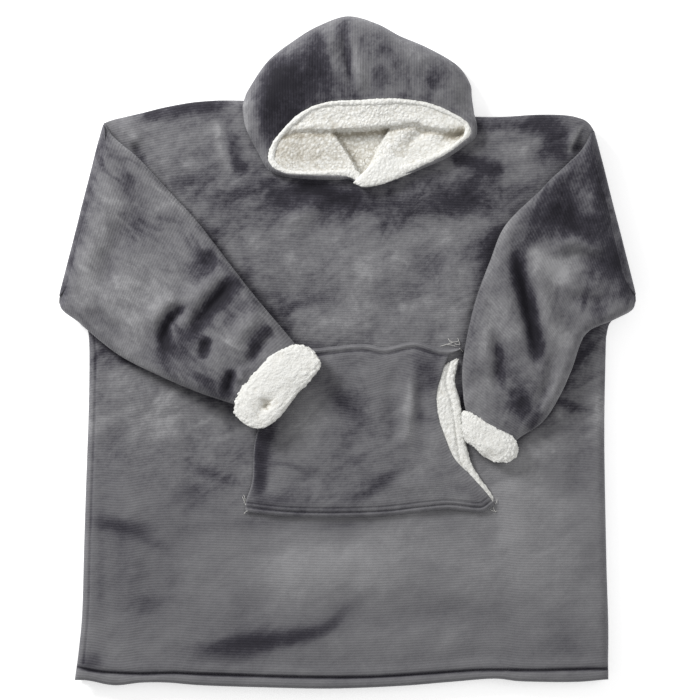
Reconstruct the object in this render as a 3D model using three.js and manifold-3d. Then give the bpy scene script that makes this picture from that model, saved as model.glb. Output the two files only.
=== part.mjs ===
// Oversized hooded pullover blanket, laid flat on its back with both sleeves folded over the front.
// Millimetres, +X to the right, +Y toward the hood, +Z up from the surface it lies on.
// The origin is under the middle of the laid-out garment.
import * as THREE from "three";
import { mergeVertices } from "three/addons/utils/BufferGeometryUtils.js";
import Module from "manifold-3d";

// ---- driving dimensions ----
const OUTER = 2.5; // plush outer fabric
const LINING = 5; // sherpa lining
const GAP = 0.3; // clearance between neighbouring layers
const BODY_CAVITY = 12; // hollow between the front and the back of the body
const SEAM = 3; // thickness of a rolled seam along an edge
const HEM_DEPTH = 20; // outer fabric turned in along the bottom hem

const HEM_Y = -508; // bottom edge
const HEM_LEFT = -412;
const HEM_RIGHT = 395;
const FOLD_LEFT_TOP = [-367, 343]; // sleeve fold lines, from the shoulder to the underarm
const FOLD_LEFT_LOW = [-434, 80];
const FOLD_RIGHT_TOP = [370, 334];
const FOLD_RIGHT_LOW = [434, 82];
const NECK_LEFT = -95; // front neckline
const NECK_RIGHT = 131;
const NECK_LOW = 262;

const SLEEVE_CAVITY = 10;
const SLEEVE_LINING = 4;
const LEFT_TILT = 2.6; // degrees the left sleeve rises toward its cuff, over the pocket corner
const CUFF_WALL = 8; // thick sherpa of a cuff
const CUFF_RISE = 6; // a cuff stands this far above its sleeve

const POCKET_CAVITY = 5.6;
const POCKET_LINING = 3.5;
const POCKET_SEAM = 4; // width of the sewn-down strip along the pocket's top and bottom

const HOOD_TOP = 55;
const HOOD_FRONT_Y = 244.5; // front of the neck, about which the hood lifts
const RIM = 6; // sherpa roll around the face opening

// ---- layer heights that follow from them ----
const BACK_LINING_Z = OUTER + GAP;
const CAVITY_Z = BACK_LINING_Z + LINING;
const FRONT_LINING_Z = CAVITY_Z + BODY_CAVITY;
const FRONT_Z = FRONT_LINING_Z + LINING + GAP;
const BODY_TOP = FRONT_Z + OUTER;
const SLEEVE_Z = BODY_TOP + GAP;
const HINGE_Z = BODY_TOP + GAP / 2;
const SLEEVE_HEIGHT = 2 * (OUTER + GAP + SLEEVE_LINING) + SLEEVE_CAVITY;
const HEM_FOLD = 2 * OUTER + GAP;

// ---- materials ----
const cloth = (color, roughness) => new THREE.MeshStandardMaterial({ color, roughness, metalness: 0 });
const PLUSH = cloth(0x6b6a6f, 0.9);
const SHERPA = cloth(0xe6e5e0, 0.95);
const THREAD = cloth(0x4a494e, 0.7);

// ---- solids ----
const wasm = await Module();
wasm.setup();

function toSolid(geometry) {
  const bare = new THREE.BufferGeometry();
  bare.setAttribute("position", geometry.getAttribute("position"));
  const merged = mergeVertices(bare, 1e-3);
  return new wasm.Manifold(
    new wasm.Mesh({
      numProp: 3,
      vertProperties: merged.attributes.position.array,
      triVerts: new Uint32Array(merged.index.array),
    }),
  );
}

function toGeometry(solid) {
  const mesh = solid.getMesh();
  const indexed = new THREE.BufferGeometry();
  indexed.setAttribute("position", new THREE.BufferAttribute(mesh.vertProperties, 3));
  indexed.setIndex(new THREE.BufferAttribute(mesh.triVerts, 1));
  const geometry = indexed.toNonIndexed();
  geometry.computeVertexNormals();
  return geometry;
}

// An outline is a counter-clockwise list of [x, y, kind], kind naming the edge that starts at the point.
// inset moves each edge inward by the distance given for its kind; a negative distance moves it outward.
function inset(outline, distance) {
  const n = outline.length;
  const edge = (i) => {
    const [ax, ay, kind] = outline[(i + n) % n];
    const [bx, by] = outline[(i + 1) % n];
    const length = Math.hypot(bx - ax, by - ay);
    const u = [(bx - ax) / length, (by - ay) / length];
    const d = typeof distance === "number" ? distance : distance[kind];
    return { p: [ax - u[1] * d, ay + u[0] * d], u, d };
  };
  return outline.map(([x, y, kind], i) => {
    const a = edge(i - 1);
    const b = edge(i);
    const cross = a.u[0] * b.u[1] - a.u[1] * b.u[0];
    if (Math.abs(cross) < 0.03) {
      const d = (a.d + b.d) / 2;
      return [x - b.u[1] * d, y + b.u[0] * d, kind];
    }
    const t = ((b.p[0] - a.p[0]) * b.u[1] - (b.p[1] - a.p[1]) * b.u[0]) / cross;
    return [a.p[0] + a.u[0] * t, a.p[1] + a.u[1] * t, kind];
  });
}

// The outline as a shape whose corners are eased over at most the given length.
function shapeOf(outline, ease) {
  const n = outline.length;
  const shape = new THREE.Shape();
  const toward = (from, to) => {
    const length = Math.hypot(to[0] - from[0], to[1] - from[1]);
    const t = Math.min(ease / length, 0.45);
    return [from[0] + (to[0] - from[0]) * t, from[1] + (to[1] - from[1]) * t];
  };
  for (let i = 0; i < n; i++) {
    const point = outline[i];
    const before = toward(point, outline[(i + n - 1) % n]);
    const after = toward(point, outline[(i + 1) % n]);
    if (i === 0) shape.moveTo(...before);
    else shape.lineTo(...before);
    shape.quadraticCurveTo(point[0], point[1], ...after);
  }
  shape.closePath();
  return shape;
}

// A slab over an outline between two heights, its edges rounded by bevel.
function slab(outline, low, high, { bevel = 0, ease = 10 } = {}) {
  const geometry = new THREE.ExtrudeGeometry(shapeOf(outline, ease), {
    depth: high - low - 2 * bevel,
    curveSegments: 3,
    bevelEnabled: bevel > 0,
    bevelThickness: bevel,
    bevelSize: bevel,
    bevelOffset: -bevel,
    bevelSegments: 2,
  });
  geometry.translate(0, 0, low + bevel);
  return geometry;
}

const slabSolid = (...args) => toSolid(slab(...args));

// A round cord along points [x, y, z], used for stitched ridges.
function cord(points, radius, segments = 24) {
  const path = new THREE.CatmullRomCurve3(points.map((p) => new THREE.Vector3(...p)));
  const ring = new THREE.Shape();
  ring.absarc(0, 0, radius, 0, 2 * Math.PI);
  return new THREE.ExtrudeGeometry(ring, { steps: segments, curveSegments: 4, extrudePath: path });
}

const garment = new THREE.Group();
garment.name = "hooded_blanket";

function add(group, name, geometry, material) {
  const mesh = new THREE.Mesh(geometry, material);
  mesh.name = name;
  group.add(mesh);
  return mesh;
}

// ---- body ----
const RIGHT_SIDE = [
  [HEM_RIGHT, HEM_Y],
  [HEM_RIGHT, -457],
  [391, -313],
  [389, -133],
  [392, 28],
];
const LEFT_SIDE = [
  [-394, 34],
  [-392, -90],
  [-397, -205],
  [-402, -400],
  [HEM_LEFT, HEM_Y],
];
const RIGHT_SHOULDER = [FOLD_RIGHT_TOP, [356, 349], [319, 352], [193, 357]];
const LEFT_SHOULDER = [[-154, 379], [-221, 378], [-272, 370], [-346, 352], FOLD_LEFT_TOP];
const shoulderY = (x) => 379 - ((x + 154) * 22) / 347; // back neckline, between the shoulders

const kind = (points, name) => points.map(([x, y]) => [x, y, name]);
const backOutline = [
  [HEM_LEFT, HEM_Y, "hem"],
  ...kind(RIGHT_SIDE, "side"),
  [428, 64, "side"],
  [...FOLD_RIGHT_LOW, "fold"],
  ...kind(RIGHT_SHOULDER.slice(0, 3), "shoulder"),
  [193, 357, "neck"],
  ...kind(LEFT_SHOULDER.slice(0, 4), "shoulder"),
  [...FOLD_LEFT_TOP, "fold"],
  [...FOLD_LEFT_LOW, "side"],
  [-430, 65, "side"],
  ...kind(LEFT_SIDE.slice(0, 4), "side"),
];
const NECK = [
  [NECK_RIGHT, shoulderY(NECK_RIGHT)],
  [118, 300],
  [80, NECK_LOW + 6],
  [20, NECK_LOW],
  [-50, NECK_LOW + 4],
  [-84, 296],
  [NECK_LEFT, shoulderY(NECK_LEFT)],
];
const neckHole = kind([...[...NECK].reverse(), [NECK_RIGHT, 420], [NECK_LEFT, 420]], "edge");

const EDGE = SEAM + GAP;
const liningOutline = inset(backOutline, {
  hem: HEM_DEPTH + GAP,
  side: EDGE,
  fold: EDGE,
  shoulder: EDGE,
  neck: SEAM,
});

// A layer of the body; the outer fabric carries the turned-in hem on its inner side.
function bodyLayer(outline, low, high, hemLow, hemHigh) {
  const plate = slabSolid(outline, low, high, { bevel: 0.8 });
  if (hemLow === undefined) return plate;
  const band = [
    [HEM_LEFT, HEM_Y],
    [HEM_RIGHT, HEM_Y],
    [HEM_RIGHT - 1, HEM_Y + HEM_DEPTH],
    [HEM_LEFT + 2.5, HEM_Y + HEM_DEPTH],
  ];
  return plate.add(slabSolid(inset(kind(band, "hem"), EDGE), hemLow, hemHigh, { ease: 3 }));
}

const neckCut = slabSolid(neckHole, -5, 80);
const backOuter = bodyLayer(backOutline, 0, OUTER, 1, HEM_FOLD);
const frontOuter = bodyLayer(backOutline, FRONT_Z, BODY_TOP, BODY_TOP - HEM_FOLD, BODY_TOP - 1);
const frontLining = bodyLayer(liningOutline, FRONT_LINING_Z, FRONT_Z - GAP);
add(garment, "back_outer", toGeometry(backOuter), PLUSH);
add(garment, "back_lining", slab(liningOutline, BACK_LINING_Z, CAVITY_Z, { bevel: 1.2 }), SHERPA);
add(garment, "front_lining", toGeometry(frontLining.subtract(neckCut)), SHERPA);
add(garment, "front_outer", toGeometry(frontOuter.subtract(neckCut)), PLUSH);

// Rolled seams close the body along its sides and shoulders, between the front and back fabric.
const WALL_LOW = OUTER + GAP;
const WALL_HIGH = FRONT_Z - GAP;
function seamWall(first, count) {
  const run = (depth) => {
    const moved = inset(backOutline, { hem: 0, side: depth, fold: EDGE, shoulder: depth, neck: 0 });
    return Array.from({ length: count }, (_, i) => moved[(first + i) % moved.length]);
  };
  return slab([...run(0.5), ...run(SEAM).reverse()], WALL_LOW, WALL_HIGH);
}
const startOf = ([x, y]) => backOutline.findIndex((p) => p[0] === x && p[1] === y);
const shoulderRight = seamWall(startOf(FOLD_RIGHT_TOP), RIGHT_SHOULDER.length);
const shoulderLeft = seamWall(startOf(LEFT_SHOULDER[0]), LEFT_SHOULDER.length);
add(garment, "side_seam_right", seamWall(1, RIGHT_SIDE.length + 2), PLUSH);
add(garment, "side_seam_left", seamWall(startOf(FOLD_LEFT_LOW), LEFT_SIDE.length + 2), PLUSH);
add(garment, "shoulder_seam_right", shoulderRight, PLUSH);
add(garment, "shoulder_seam_left", shoulderLeft, PLUSH);

// An armhole seam is a flat ring standing in the fold line, round the way into the sleeve.
function ringAlong(low, top) {
  const length = Math.hypot(top[0] - low[0], top[1] - low[1]) - 2 * (SEAM + 2);
  const height = WALL_HIGH - WALL_LOW;
  const ring = new THREE.Shape();
  ring.moveTo(-length / 2, -height / 2);
  ring.lineTo(length / 2, -height / 2);
  ring.lineTo(length / 2, height / 2);
  ring.lineTo(-length / 2, height / 2);
  ring.closePath();
  const hole = new THREE.Path();
  hole.moveTo(-length / 2 + SEAM, -height / 2 + SEAM);
  hole.lineTo(-length / 2 + SEAM, height / 2 - SEAM);
  hole.lineTo(length / 2 - SEAM, height / 2 - SEAM);
  hole.lineTo(length / 2 - SEAM, -height / 2 + SEAM);
  hole.closePath();
  ring.holes.push(hole);
  const geometry = new THREE.ExtrudeGeometry(ring, { depth: SEAM - 2 * GAP, bevelEnabled: false });
  geometry.translate(0, 0, GAP);
  geometry.rotateX(Math.PI / 2);
  geometry.rotateZ(Math.atan2(top[1] - low[1], top[0] - low[0]));
  geometry.translate((low[0] + top[0]) / 2, (low[1] + top[1]) / 2, (WALL_LOW + WALL_HIGH) / 2);
  return geometry;
}
add(garment, "armhole_seam_left", ringAlong(FOLD_LEFT_LOW, FOLD_LEFT_TOP), PLUSH);
add(garment, "armhole_seam_right", ringAlong(FOLD_RIGHT_TOP, FOLD_RIGHT_LOW), PLUSH);

// The neck seam runs round the front neckline, between the body and the hood.
const NECK_ROLL = 1.6;
const neckRun = inset(neckHole, 2 * NECK_ROLL + 2).slice(0, NECK.length);
const neckEnd = ([x, y]) => [x, y - 8];
const neckLine = [neckEnd(neckRun[0]), ...neckRun.slice(1, -1), neckEnd(neckRun.at(-1))];
const neckCord = cord(neckLine.map(([x, y]) => [x, y, FRONT_Z - 1]), NECK_ROLL, 40);
add(garment, "neck_seam", neckCord, PLUSH);

// Points for a cord of the given radius that lies on a surface.
const onTop = (points, radius, top) => points.map(([x, y]) => [x, y, top + GAP + radius]);
const STITCH = 0.8;
const hemStitch = [
  [HEM_LEFT + 8, HEM_Y + HEM_DEPTH + 3],
  [-260, HEM_Y + HEM_DEPTH - 2],
  [0, HEM_Y + HEM_DEPTH + 1],
  [220, HEM_Y + HEM_DEPTH - 2],
  [HEM_RIGHT - 8, HEM_Y + HEM_DEPTH],
];
add(garment, "hem_stitch", cord(onTop(hemStitch, STITCH, BODY_TOP), STITCH, 16), THREAD);

// ---- pocket ----
const POCKET_TOP_Z = SLEEVE_Z + POCKET_CAVITY + POCKET_LINING + GAP;
const pocketOutline = [
  [-157, -236, "seam"],
  [218, -233, "mouth"],
  [196, -192, "mouth"],
  [152, -142, "mouth"],
  [135, -87, "mouth"],
  [148, -37, "mouth"],
  [174, 4, "seam"],
  [-68, 6, "mouth"],
  [-142, -118, "mouth"],
];
// The lining reaches past the outer fabric at the right mouth, as a soft lip.
const pocketLiningOutline = [
  [-154, -236, "seam"],
  [214, -230, "mouth"],
  [184, -192, "mouth"],
  [172, -150, "mouth"],
  [167, -87, "mouth"],
  [159, -37, "mouth"],
  [172, -4, "seam"],
  [-68, 6, "mouth"],
  [-140, -118, "mouth"],
];
const [lowLeft, lowRight] = pocketOutline;
const [topRight, topLeft] = pocketOutline.slice(6, 8);
const pocketTop = POCKET_TOP_Z + OUTER;
// The strip that sews an edge of the pocket down to the body.
function pocketWall([ax, ay], [bx, by]) {
  const length = Math.hypot(bx - ax, by - ay);
  const n = [-(by - ay) / length, (bx - ax) / length];
  const beside = (x, y, d) => [x + n[0] * d, y + n[1] * d];
  const [near, far] = [1, POCKET_SEAM];
  const strip = [beside(ax, ay, near), beside(bx, by, near), beside(bx, by, far), beside(ax, ay, far)];
  return slabSolid(inset(kind(strip, "edge"), 0.5), SLEEVE_Z, POCKET_TOP_Z + 1, { ease: 1 });
}
const pocketOuter = slabSolid(pocketOutline, POCKET_TOP_Z, pocketTop, { bevel: 0.6, ease: 14 })
  .add(pocketWall(lowLeft, [lowRight[0] - 2, lowRight[1]]))
  .add(pocketWall([topRight[0] - 3, topRight[1]], topLeft));
add(garment, "pocket_outer", toGeometry(pocketOuter), PLUSH);
const sewn = inset(pocketLiningOutline, { seam: POCKET_SEAM + GAP, mouth: 1 });
const pocketLining = slab(sewn, SLEEVE_Z + POCKET_CAVITY, POCKET_TOP_Z - GAP, { bevel: 1 });
add(garment, "pocket_lining", pocketLining, SHERPA);
const PIPING = 1.6; // radius of the raised seam along the top of the pocket
function seamCord([ax, ay], [bx, by], inward, radius) {
  const run = [[ax + 4, ay + inward], [(ax + bx) / 2, ay + inward + 1], [bx - 4, by + inward]];
  return cord(onTop(run, radius, pocketTop), radius, 12);
}
add(garment, "pocket_top_stitch", seamCord(topLeft, topRight, -5, PIPING), THREAD);
add(garment, "pocket_bottom_stitch", seamCord(lowLeft, lowRight, 5, STITCH), THREAD);
const tackSpots = {
  top_left: [topLeft[0] + 4, topLeft[1] - 13],
  top_right: [topRight[0] - 12, topRight[1] - 13],
  bottom_left: [lowLeft[0] + 10, lowLeft[1] + 12],
  bottom_right: [lowRight[0] - 16, lowRight[1] + 12],
};
for (const [corner, [x, y]] of Object.entries(tackSpots)) {
  const tack = new THREE.BoxGeometry(10, 2.4, 1);
  const mesh = add(garment, `pocket_tack_${corner}`, tack, THREAD);
  mesh.position.set(x, y, pocketTop + GAP + 0.5);
}

// ---- sleeves ----
// A pivot turns its children about the line from one point to another, right-handed, by the degrees given.
// They keep the garment's own coordinates.
function pivot(name, [px, py], [qx, qy], degrees) {
  const hinge = new THREE.Group();
  hinge.name = name;
  hinge.position.set(px, py, HINGE_Z);
  const axis = new THREE.Vector3(qx - px, qy - py, 0).normalize();
  hinge.quaternion.setFromAxisAngle(axis, THREE.MathUtils.degToRad(degrees));
  const inner = new THREE.Group();
  inner.position.set(-px, -py, -HINGE_Z);
  hinge.add(inner);
  garment.add(hinge);
  return inner;
}

// A flattened tube: an outline given a height, hollowed by wall and open across its "open" edges.
function tube(outline, low, high, wall, rim, ease = 12) {
  const outside = slabSolid(inset(outline, { side: rim, open: 0 }), low, high, { bevel: 1.5, ease });
  const hollow = inset(outline, { side: rim + wall, open: -20 });
  return toGeometry(outside.subtract(slabSolid(hollow, low + wall, high - wall, { bevel: 0.8, ease })));
}

// Each sleeve is laid out from the lower end of its fold line, so it goes where the fold goes.
const from = ([x, y], points) => points.map(([dx, dy, kind]) => [x + dx, y + dy, kind]);
const WRIST_LEFT = [[270, -152], [358, -68]];
const WRIST_RIGHT = [[-178, -216], [-261, -168]];
const leftSleeve = [
  ...from(FOLD_LEFT_LOW, [
    [1, 2, "side"],
    [14, -24, "side"],
    [93, -86, "side"],
    [153, -116, "side"],
    [...WRIST_LEFT[0], "open"],
    [...WRIST_LEFT[1], "side"],
    [288, 11, "side"],
    [213, 109, "side"],
  ]),
  ...from(FOLD_LEFT_TOP, [
    [71, -64, "side"],
    [1, -2, "open"],
  ]),
];
const rightSleeve = [
  ...from(FOLD_RIGHT_LOW, [
    [...WRIST_RIGHT[1], "open"],
    [...WRIST_RIGHT[0], "side"],
    [-131, -178, "side"],
    [-100, -110, "side"],
    [-62, -55, "side"],
    [-2, 2, "open"],
  ]),
  ...from(FOLD_RIGHT_TOP, [
    [-1, -2, "side"],
    [-81, -93, "side"],
  ]),
  ...from(FOLD_RIGHT_LOW, [
    [-198, 107, "side"],
    [-230, 28, "side"],
    [-256, -66, "side"],
  ]),
];
// A cuff starts a gap beyond the wrist and turns outward wider than its sleeve.
const wristAt = ([x, y], dx, dy, kind) => [x + dx, y + dy, kind];
const leftCuff = from(FOLD_LEFT_LOW, [
  wristAt(WRIST_LEFT[0], 0, -1, "side"),
  wristAt(WRIST_LEFT[0], 3, -24, "open"),
  wristAt(WRIST_LEFT[0], 36, -40, "open"),
  wristAt(WRIST_LEFT[1], -8, -92, "open"),
  wristAt(WRIST_LEFT[1], 34, -42, "side"),
  wristAt(WRIST_LEFT[1], 22, 0, "side"),
  wristAt(WRIST_LEFT[1], 0.6, -0.4, "open"),
]);
const rightCuff = from(FOLD_RIGHT_LOW, [
  wristAt(WRIST_RIGHT[1], 0, -1, "side"),
  wristAt(WRIST_RIGHT[1], 7, -46, "open"),
  wristAt(WRIST_RIGHT[1], 41, -71, "open"),
  wristAt(WRIST_RIGHT[0], -6, -24, "side"),
  wristAt(WRIST_RIGHT[0], 2, -2, "open"),
]);

function sleeve(side, outline, cuffOutline, start, end, tilt) {
  const group = pivot(`${side}_sleeve`, start, end, tilt);
  const high = SLEEVE_Z + SLEEVE_HEIGHT;
  const skin = OUTER + GAP;
  const lining = inset(outline, { side: 0, open: 1 });
  const liningTube = tube(lining, SLEEVE_Z + skin, high - skin, SLEEVE_LINING, skin);
  add(group, `${side}_sleeve_outer`, tube(outline, SLEEVE_Z, high, OUTER, 0), PLUSH);
  add(group, `${side}_sleeve_lining`, liningTube, SHERPA);
  add(group, `${side}_cuff`, tube(cuffOutline, SLEEVE_Z, high + CUFF_RISE, CUFF_WALL, 0), SHERPA);
}
sleeve("left", leftSleeve, leftCuff, FOLD_LEFT_TOP, FOLD_LEFT_LOW, LEFT_TILT);
sleeve("right", rightSleeve, rightCuff, FOLD_RIGHT_LOW, FOLD_RIGHT_TOP, 0);

// ---- hood ----
const HOOD_SEAM_X = 2; // the two halves of the hood meet here
const hoodOutline = [
  [26, HOOD_FRONT_Y, "side"],
  [94, 262, "side"],
  [161, 289, "side"],
  [195, 325, "side"],
  [189, 395, "side"],
  [166, 434, "side"],
  [110, 466, "side"],
  [44, 497, "side"],
  [-4, 510, "side"],
  [-45, 493, "side"],
  [-80, 472, "side"],
  [-125, 436, "side"],
  [-151, 400, "side"],
  [-155, 360, "side"],
  [-128, 271, "side"],
  [-80, 258, "side"],
];
const faceOutline = [
  [28, 256],
  [104, 278],
  [158, 302],
  [180, 322],
  [146, 352],
  [105, 367],
  [49, 370],
  [-24, 366],
  [-66, 349],
  [-100, 320],
  [-117, 287],
  [-106, 271],
  [-60, 264],
].map(([x, y]) => [x, y, "edge"]);
const passage = [
  [NECK_LEFT + 16, NECK_LOW + 12],
  [NECK_RIGHT - 17, NECK_LOW + 12],
  [NECK_RIGHT - 17, 394],
  [NECK_LEFT + 16, 402],
];

// The hood's inside at a depth below its outer surface; it steps up to lie over the shoulders of the body.
function hoodAt(depth) {
  const whole = slabSolid(inset(hoodOutline, depth), depth, HOOD_TOP - depth, { bevel: 1, ease: 30 });
  return whole.subtract(slabSolid(inset(backOutline, -GAP - depth), -5, SLEEVE_Z + depth));
}
const neckWay = slabSolid(kind(passage, "edge"), CAVITY_Z + 1, SLEEVE_Z + OUTER + GAP + LINING + 1);
const faceWay = slabSolid(faceOutline, HOOD_TOP - OUTER - GAP - LINING - 2, HOOD_TOP + 5, { ease: 40 });
function halfSpace(west, east) {
  const corners = [[west, 200], [east, 200], [east, 600], [west, 600]];
  return slabSolid(kind(corners, "edge"), -5, 80, { ease: 1 });
}
const halves = {
  left: halfSpace(-300, HOOD_SEAM_X - GAP / 2),
  right: halfSpace(HOOD_SEAM_X + GAP / 2, 300),
};
const hood = new THREE.Group();
hood.name = "hood";
garment.add(hood);
const inner = OUTER + GAP;
const layers = {
  outer: hoodAt(0).subtract(hoodAt(OUTER)),
  lining: hoodAt(inner).subtract(hoodAt(inner + LINING)),
};
for (const [layer, solid] of Object.entries(layers))
  for (const [side, keep] of Object.entries(halves)) {
    const panel = solid.subtract(neckWay).subtract(faceWay).intersect(keep);
    add(hood, `hood_${layer}_${side}`, toGeometry(panel), layer === "outer" ? PLUSH : SHERPA);
  }
const rimRoll = slabSolid(inset(faceOutline, GAP), HOOD_TOP - 8, HOOD_TOP + 1.5, { bevel: 2.4, ease: 40 });
const rimWay = slabSolid(inset(faceOutline, GAP + RIM), HOOD_TOP - 20, HOOD_TOP + 10, { ease: 40 });
add(hood, "hood_rim", toGeometry(rimRoll.subtract(rimWay)), SHERPA);
const CREST = 1.6;
const crest = [
  [HOOD_SEAM_X - 1, 500],
  [HOOD_SEAM_X - 3, 460],
  [HOOD_SEAM_X + 3, 411],
  [HOOD_SEAM_X + 6, 376],
];
add(hood, "hood_center_seam", cord(onTop(crest, CREST, HOOD_TOP), CREST, 16), PLUSH);

export default garment;
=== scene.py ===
import math

import bmesh
import bpy
import numpy as np
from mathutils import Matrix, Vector
from mathutils.bvhtree import BVHTree


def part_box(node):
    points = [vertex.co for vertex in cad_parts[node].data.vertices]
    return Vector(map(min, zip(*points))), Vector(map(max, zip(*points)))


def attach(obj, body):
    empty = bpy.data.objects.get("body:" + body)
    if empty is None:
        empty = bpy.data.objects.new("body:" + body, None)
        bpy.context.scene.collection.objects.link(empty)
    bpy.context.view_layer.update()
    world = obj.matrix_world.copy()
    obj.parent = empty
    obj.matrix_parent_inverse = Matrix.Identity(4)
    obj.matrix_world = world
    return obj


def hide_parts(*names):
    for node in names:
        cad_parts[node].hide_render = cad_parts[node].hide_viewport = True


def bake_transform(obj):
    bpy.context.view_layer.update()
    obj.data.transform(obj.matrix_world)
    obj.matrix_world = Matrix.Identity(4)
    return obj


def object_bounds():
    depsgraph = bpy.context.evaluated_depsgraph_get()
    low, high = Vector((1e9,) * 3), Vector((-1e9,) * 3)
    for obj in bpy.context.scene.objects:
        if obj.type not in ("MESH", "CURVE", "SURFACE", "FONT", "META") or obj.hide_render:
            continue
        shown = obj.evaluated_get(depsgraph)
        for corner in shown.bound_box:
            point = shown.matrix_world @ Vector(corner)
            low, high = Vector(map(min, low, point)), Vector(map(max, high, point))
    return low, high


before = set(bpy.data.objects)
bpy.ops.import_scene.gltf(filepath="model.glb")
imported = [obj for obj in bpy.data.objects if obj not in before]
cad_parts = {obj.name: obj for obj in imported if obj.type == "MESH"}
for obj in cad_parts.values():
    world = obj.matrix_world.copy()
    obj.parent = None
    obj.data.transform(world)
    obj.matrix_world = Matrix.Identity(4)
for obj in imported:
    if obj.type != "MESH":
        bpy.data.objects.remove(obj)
cad_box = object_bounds()

# Lengths are millimetres in the part's frame until a mesh is made, which is in metres.
MM = 0.001


def height_of(node, end):
    """The lowest (0) or highest (1) z of a CAD node."""
    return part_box(node)[end].z / MM


BODY_TOP = height_of("front_outer", 1)


# ---------------------------------------------------------------- numbers on arrays
def smoothstep(low, high, value):
    """0 below low, 1 above high, easing between."""
    t = np.clip((value - low) / (high - low), 0, 1)
    return t * t * (3 - 2 * t)


def bell(value, width):
    """1 where value is 0, fading away over width on both sides."""
    return np.exp(-((value / width) ** 2))


def lattice(ix, iy, iz, seed):
    """A fixed pseudo-random number in 0..1 for each whole-number lattice point."""
    n = (ix * 374761393 + iy * 668265263 + iz * 1442695041 + seed * 974634541) & 0xFFFFFFFF
    n = ((n ^ (n >> 13)) * 1274126177) & 0xFFFFFFFF
    return ((n ^ (n >> 16)) & 0xFFFF) / 65535.0


def value_noise(x, y, z, size, seed=0):
    """Smooth noise in -1..1 whose features are about size across."""
    x, y, z = (np.asarray(c, float) / size for c in (x, y, z))
    x, y, z = np.broadcast_arrays(x, y, z)
    ix, iy, iz = (np.floor(c).astype(np.int64) for c in (x, y, z))
    fx, fy, fz = x - ix, y - iy, z - iz
    fx, fy, fz = (f * f * f * (f * (f * 6 - 15) + 10) for f in (fx, fy, fz))
    total = 0
    for dx in (0, 1):
        for dy in (0, 1):
            for dz in (0, 1):
                weight = (fx if dx else 1 - fx) * (fy if dy else 1 - fy) * (fz if dz else 1 - fz)
                total = total + weight * lattice(ix + dx, iy + dy, iz + dz, seed)
    return total * 2 - 1


def fractal(x, y, z, size, octaves=3, seed=0):
    """Layers of value noise, each half the size and half the strength of the last."""
    total, gain, reach = 0, 1.0, 0
    for k in range(octaves):
        total = total + gain * value_noise(x, y, z, size / 2**k, seed + k)
        reach += gain
        gain *= 0.5
    return total / reach


def clumps(x, y, z, size, seed=0):
    """Rounded lumps about size apart: 1 on a lump's crown, near 0 in the creases between lumps."""
    x, y, z = (np.asarray(c, float) / size for c in (x, y, z))
    ix, iy, iz = (np.floor(c).astype(np.int64) for c in (x, y, z))
    nearest = np.full(x.shape, 9.0)
    second = np.full(x.shape, 9.0)
    for dx in (-1, 0, 1):
        for dy in (-1, 0, 1):
            for dz in (-1, 0, 1):
                cx, cy, cz = ix + dx, iy + dy, iz + dz
                px = cx + lattice(cx, cy, cz, seed)
                py = cy + lattice(cx, cy, cz, seed + 1)
                pz = cz + lattice(cx, cy, cz, seed + 2)
                d = np.sqrt((px - x) ** 2 + (py - y) ** 2 + (pz - z) ** 2)
                second = np.where(d < nearest, nearest, np.minimum(second, d))
                nearest = np.minimum(nearest, d)
    return np.clip((second - nearest) * 1.6, 0, 1) * 0.5 + np.clip(1 - nearest, 0, 1) * 0.5


def run_length(line):
    """How far each point of a line is from its start, along the line."""
    return np.concatenate([[0], np.cumsum(np.linalg.norm(np.diff(line, axis=0), axis=1))])


def curve(points, count):
    """count points evenly spaced along a smooth curve through a few points."""
    p = np.array(points, float)
    if len(p) == 2:
        return p[0] + (p[1] - p[0]) * np.linspace(0, 1, count)[:, None]
    ends = np.vstack([2 * p[0] - p[1], p, 2 * p[-1] - p[-2]])
    dense = []
    for a, b, c, d in zip(ends, ends[1:], ends[2:], ends[3:]):
        t = np.linspace(0, 1, 24, endpoint=False)[:, None]
        square, cube = 2 * a - 5 * b + 4 * c - d, 3 * b - a - 3 * c + d
        dense.append(0.5 * (2 * b + (c - a) * t + square * t**2 + cube * t**3))
    dense = np.vstack(dense + [p[-1:]])
    run = run_length(dense)
    wanted = np.linspace(0, run[-1], count)
    return np.stack([np.interp(wanted, run, dense[:, k]) for k in range(p.shape[1])], 1)


def edge_distance(x, y, line):
    """Distance from each (x, y) to a polyline."""
    a, b = line[:-1], line[1:]
    d = b - a
    length2 = (d**2).sum(1) + 1e-12
    flat_x, flat_y = x.ravel(), y.ravel()
    best = np.full(flat_x.shape, 1e9)
    for k in range(len(a)):
        t = np.clip(((flat_x - a[k, 0]) * d[k, 0] + (flat_y - a[k, 1]) * d[k, 1]) / length2[k], 0, 1)
        gap = (flat_x - a[k, 0] - t * d[k, 0]) ** 2 + (flat_y - a[k, 1] - t * d[k, 1]) ** 2
        best = np.minimum(best, gap)
    return np.sqrt(best).reshape(x.shape)


def crowded(count, crowd):
    """count numbers from 0 to 1, closer together near the ends as crowd goes from 0 to 1."""
    even = np.linspace(0, 1, count)
    return (1 - crowd) * even + crowd * (0.5 - 0.5 * np.cos(math.pi * even))


def along(line, share, first=0):
    """Points of an evenly spaced line, where share runs from first at its start to 1 at its end."""
    return np.stack([np.interp(share, np.linspace(first, 1, len(line)), line[:, k]) for k in (0, 1)], -1)


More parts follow.
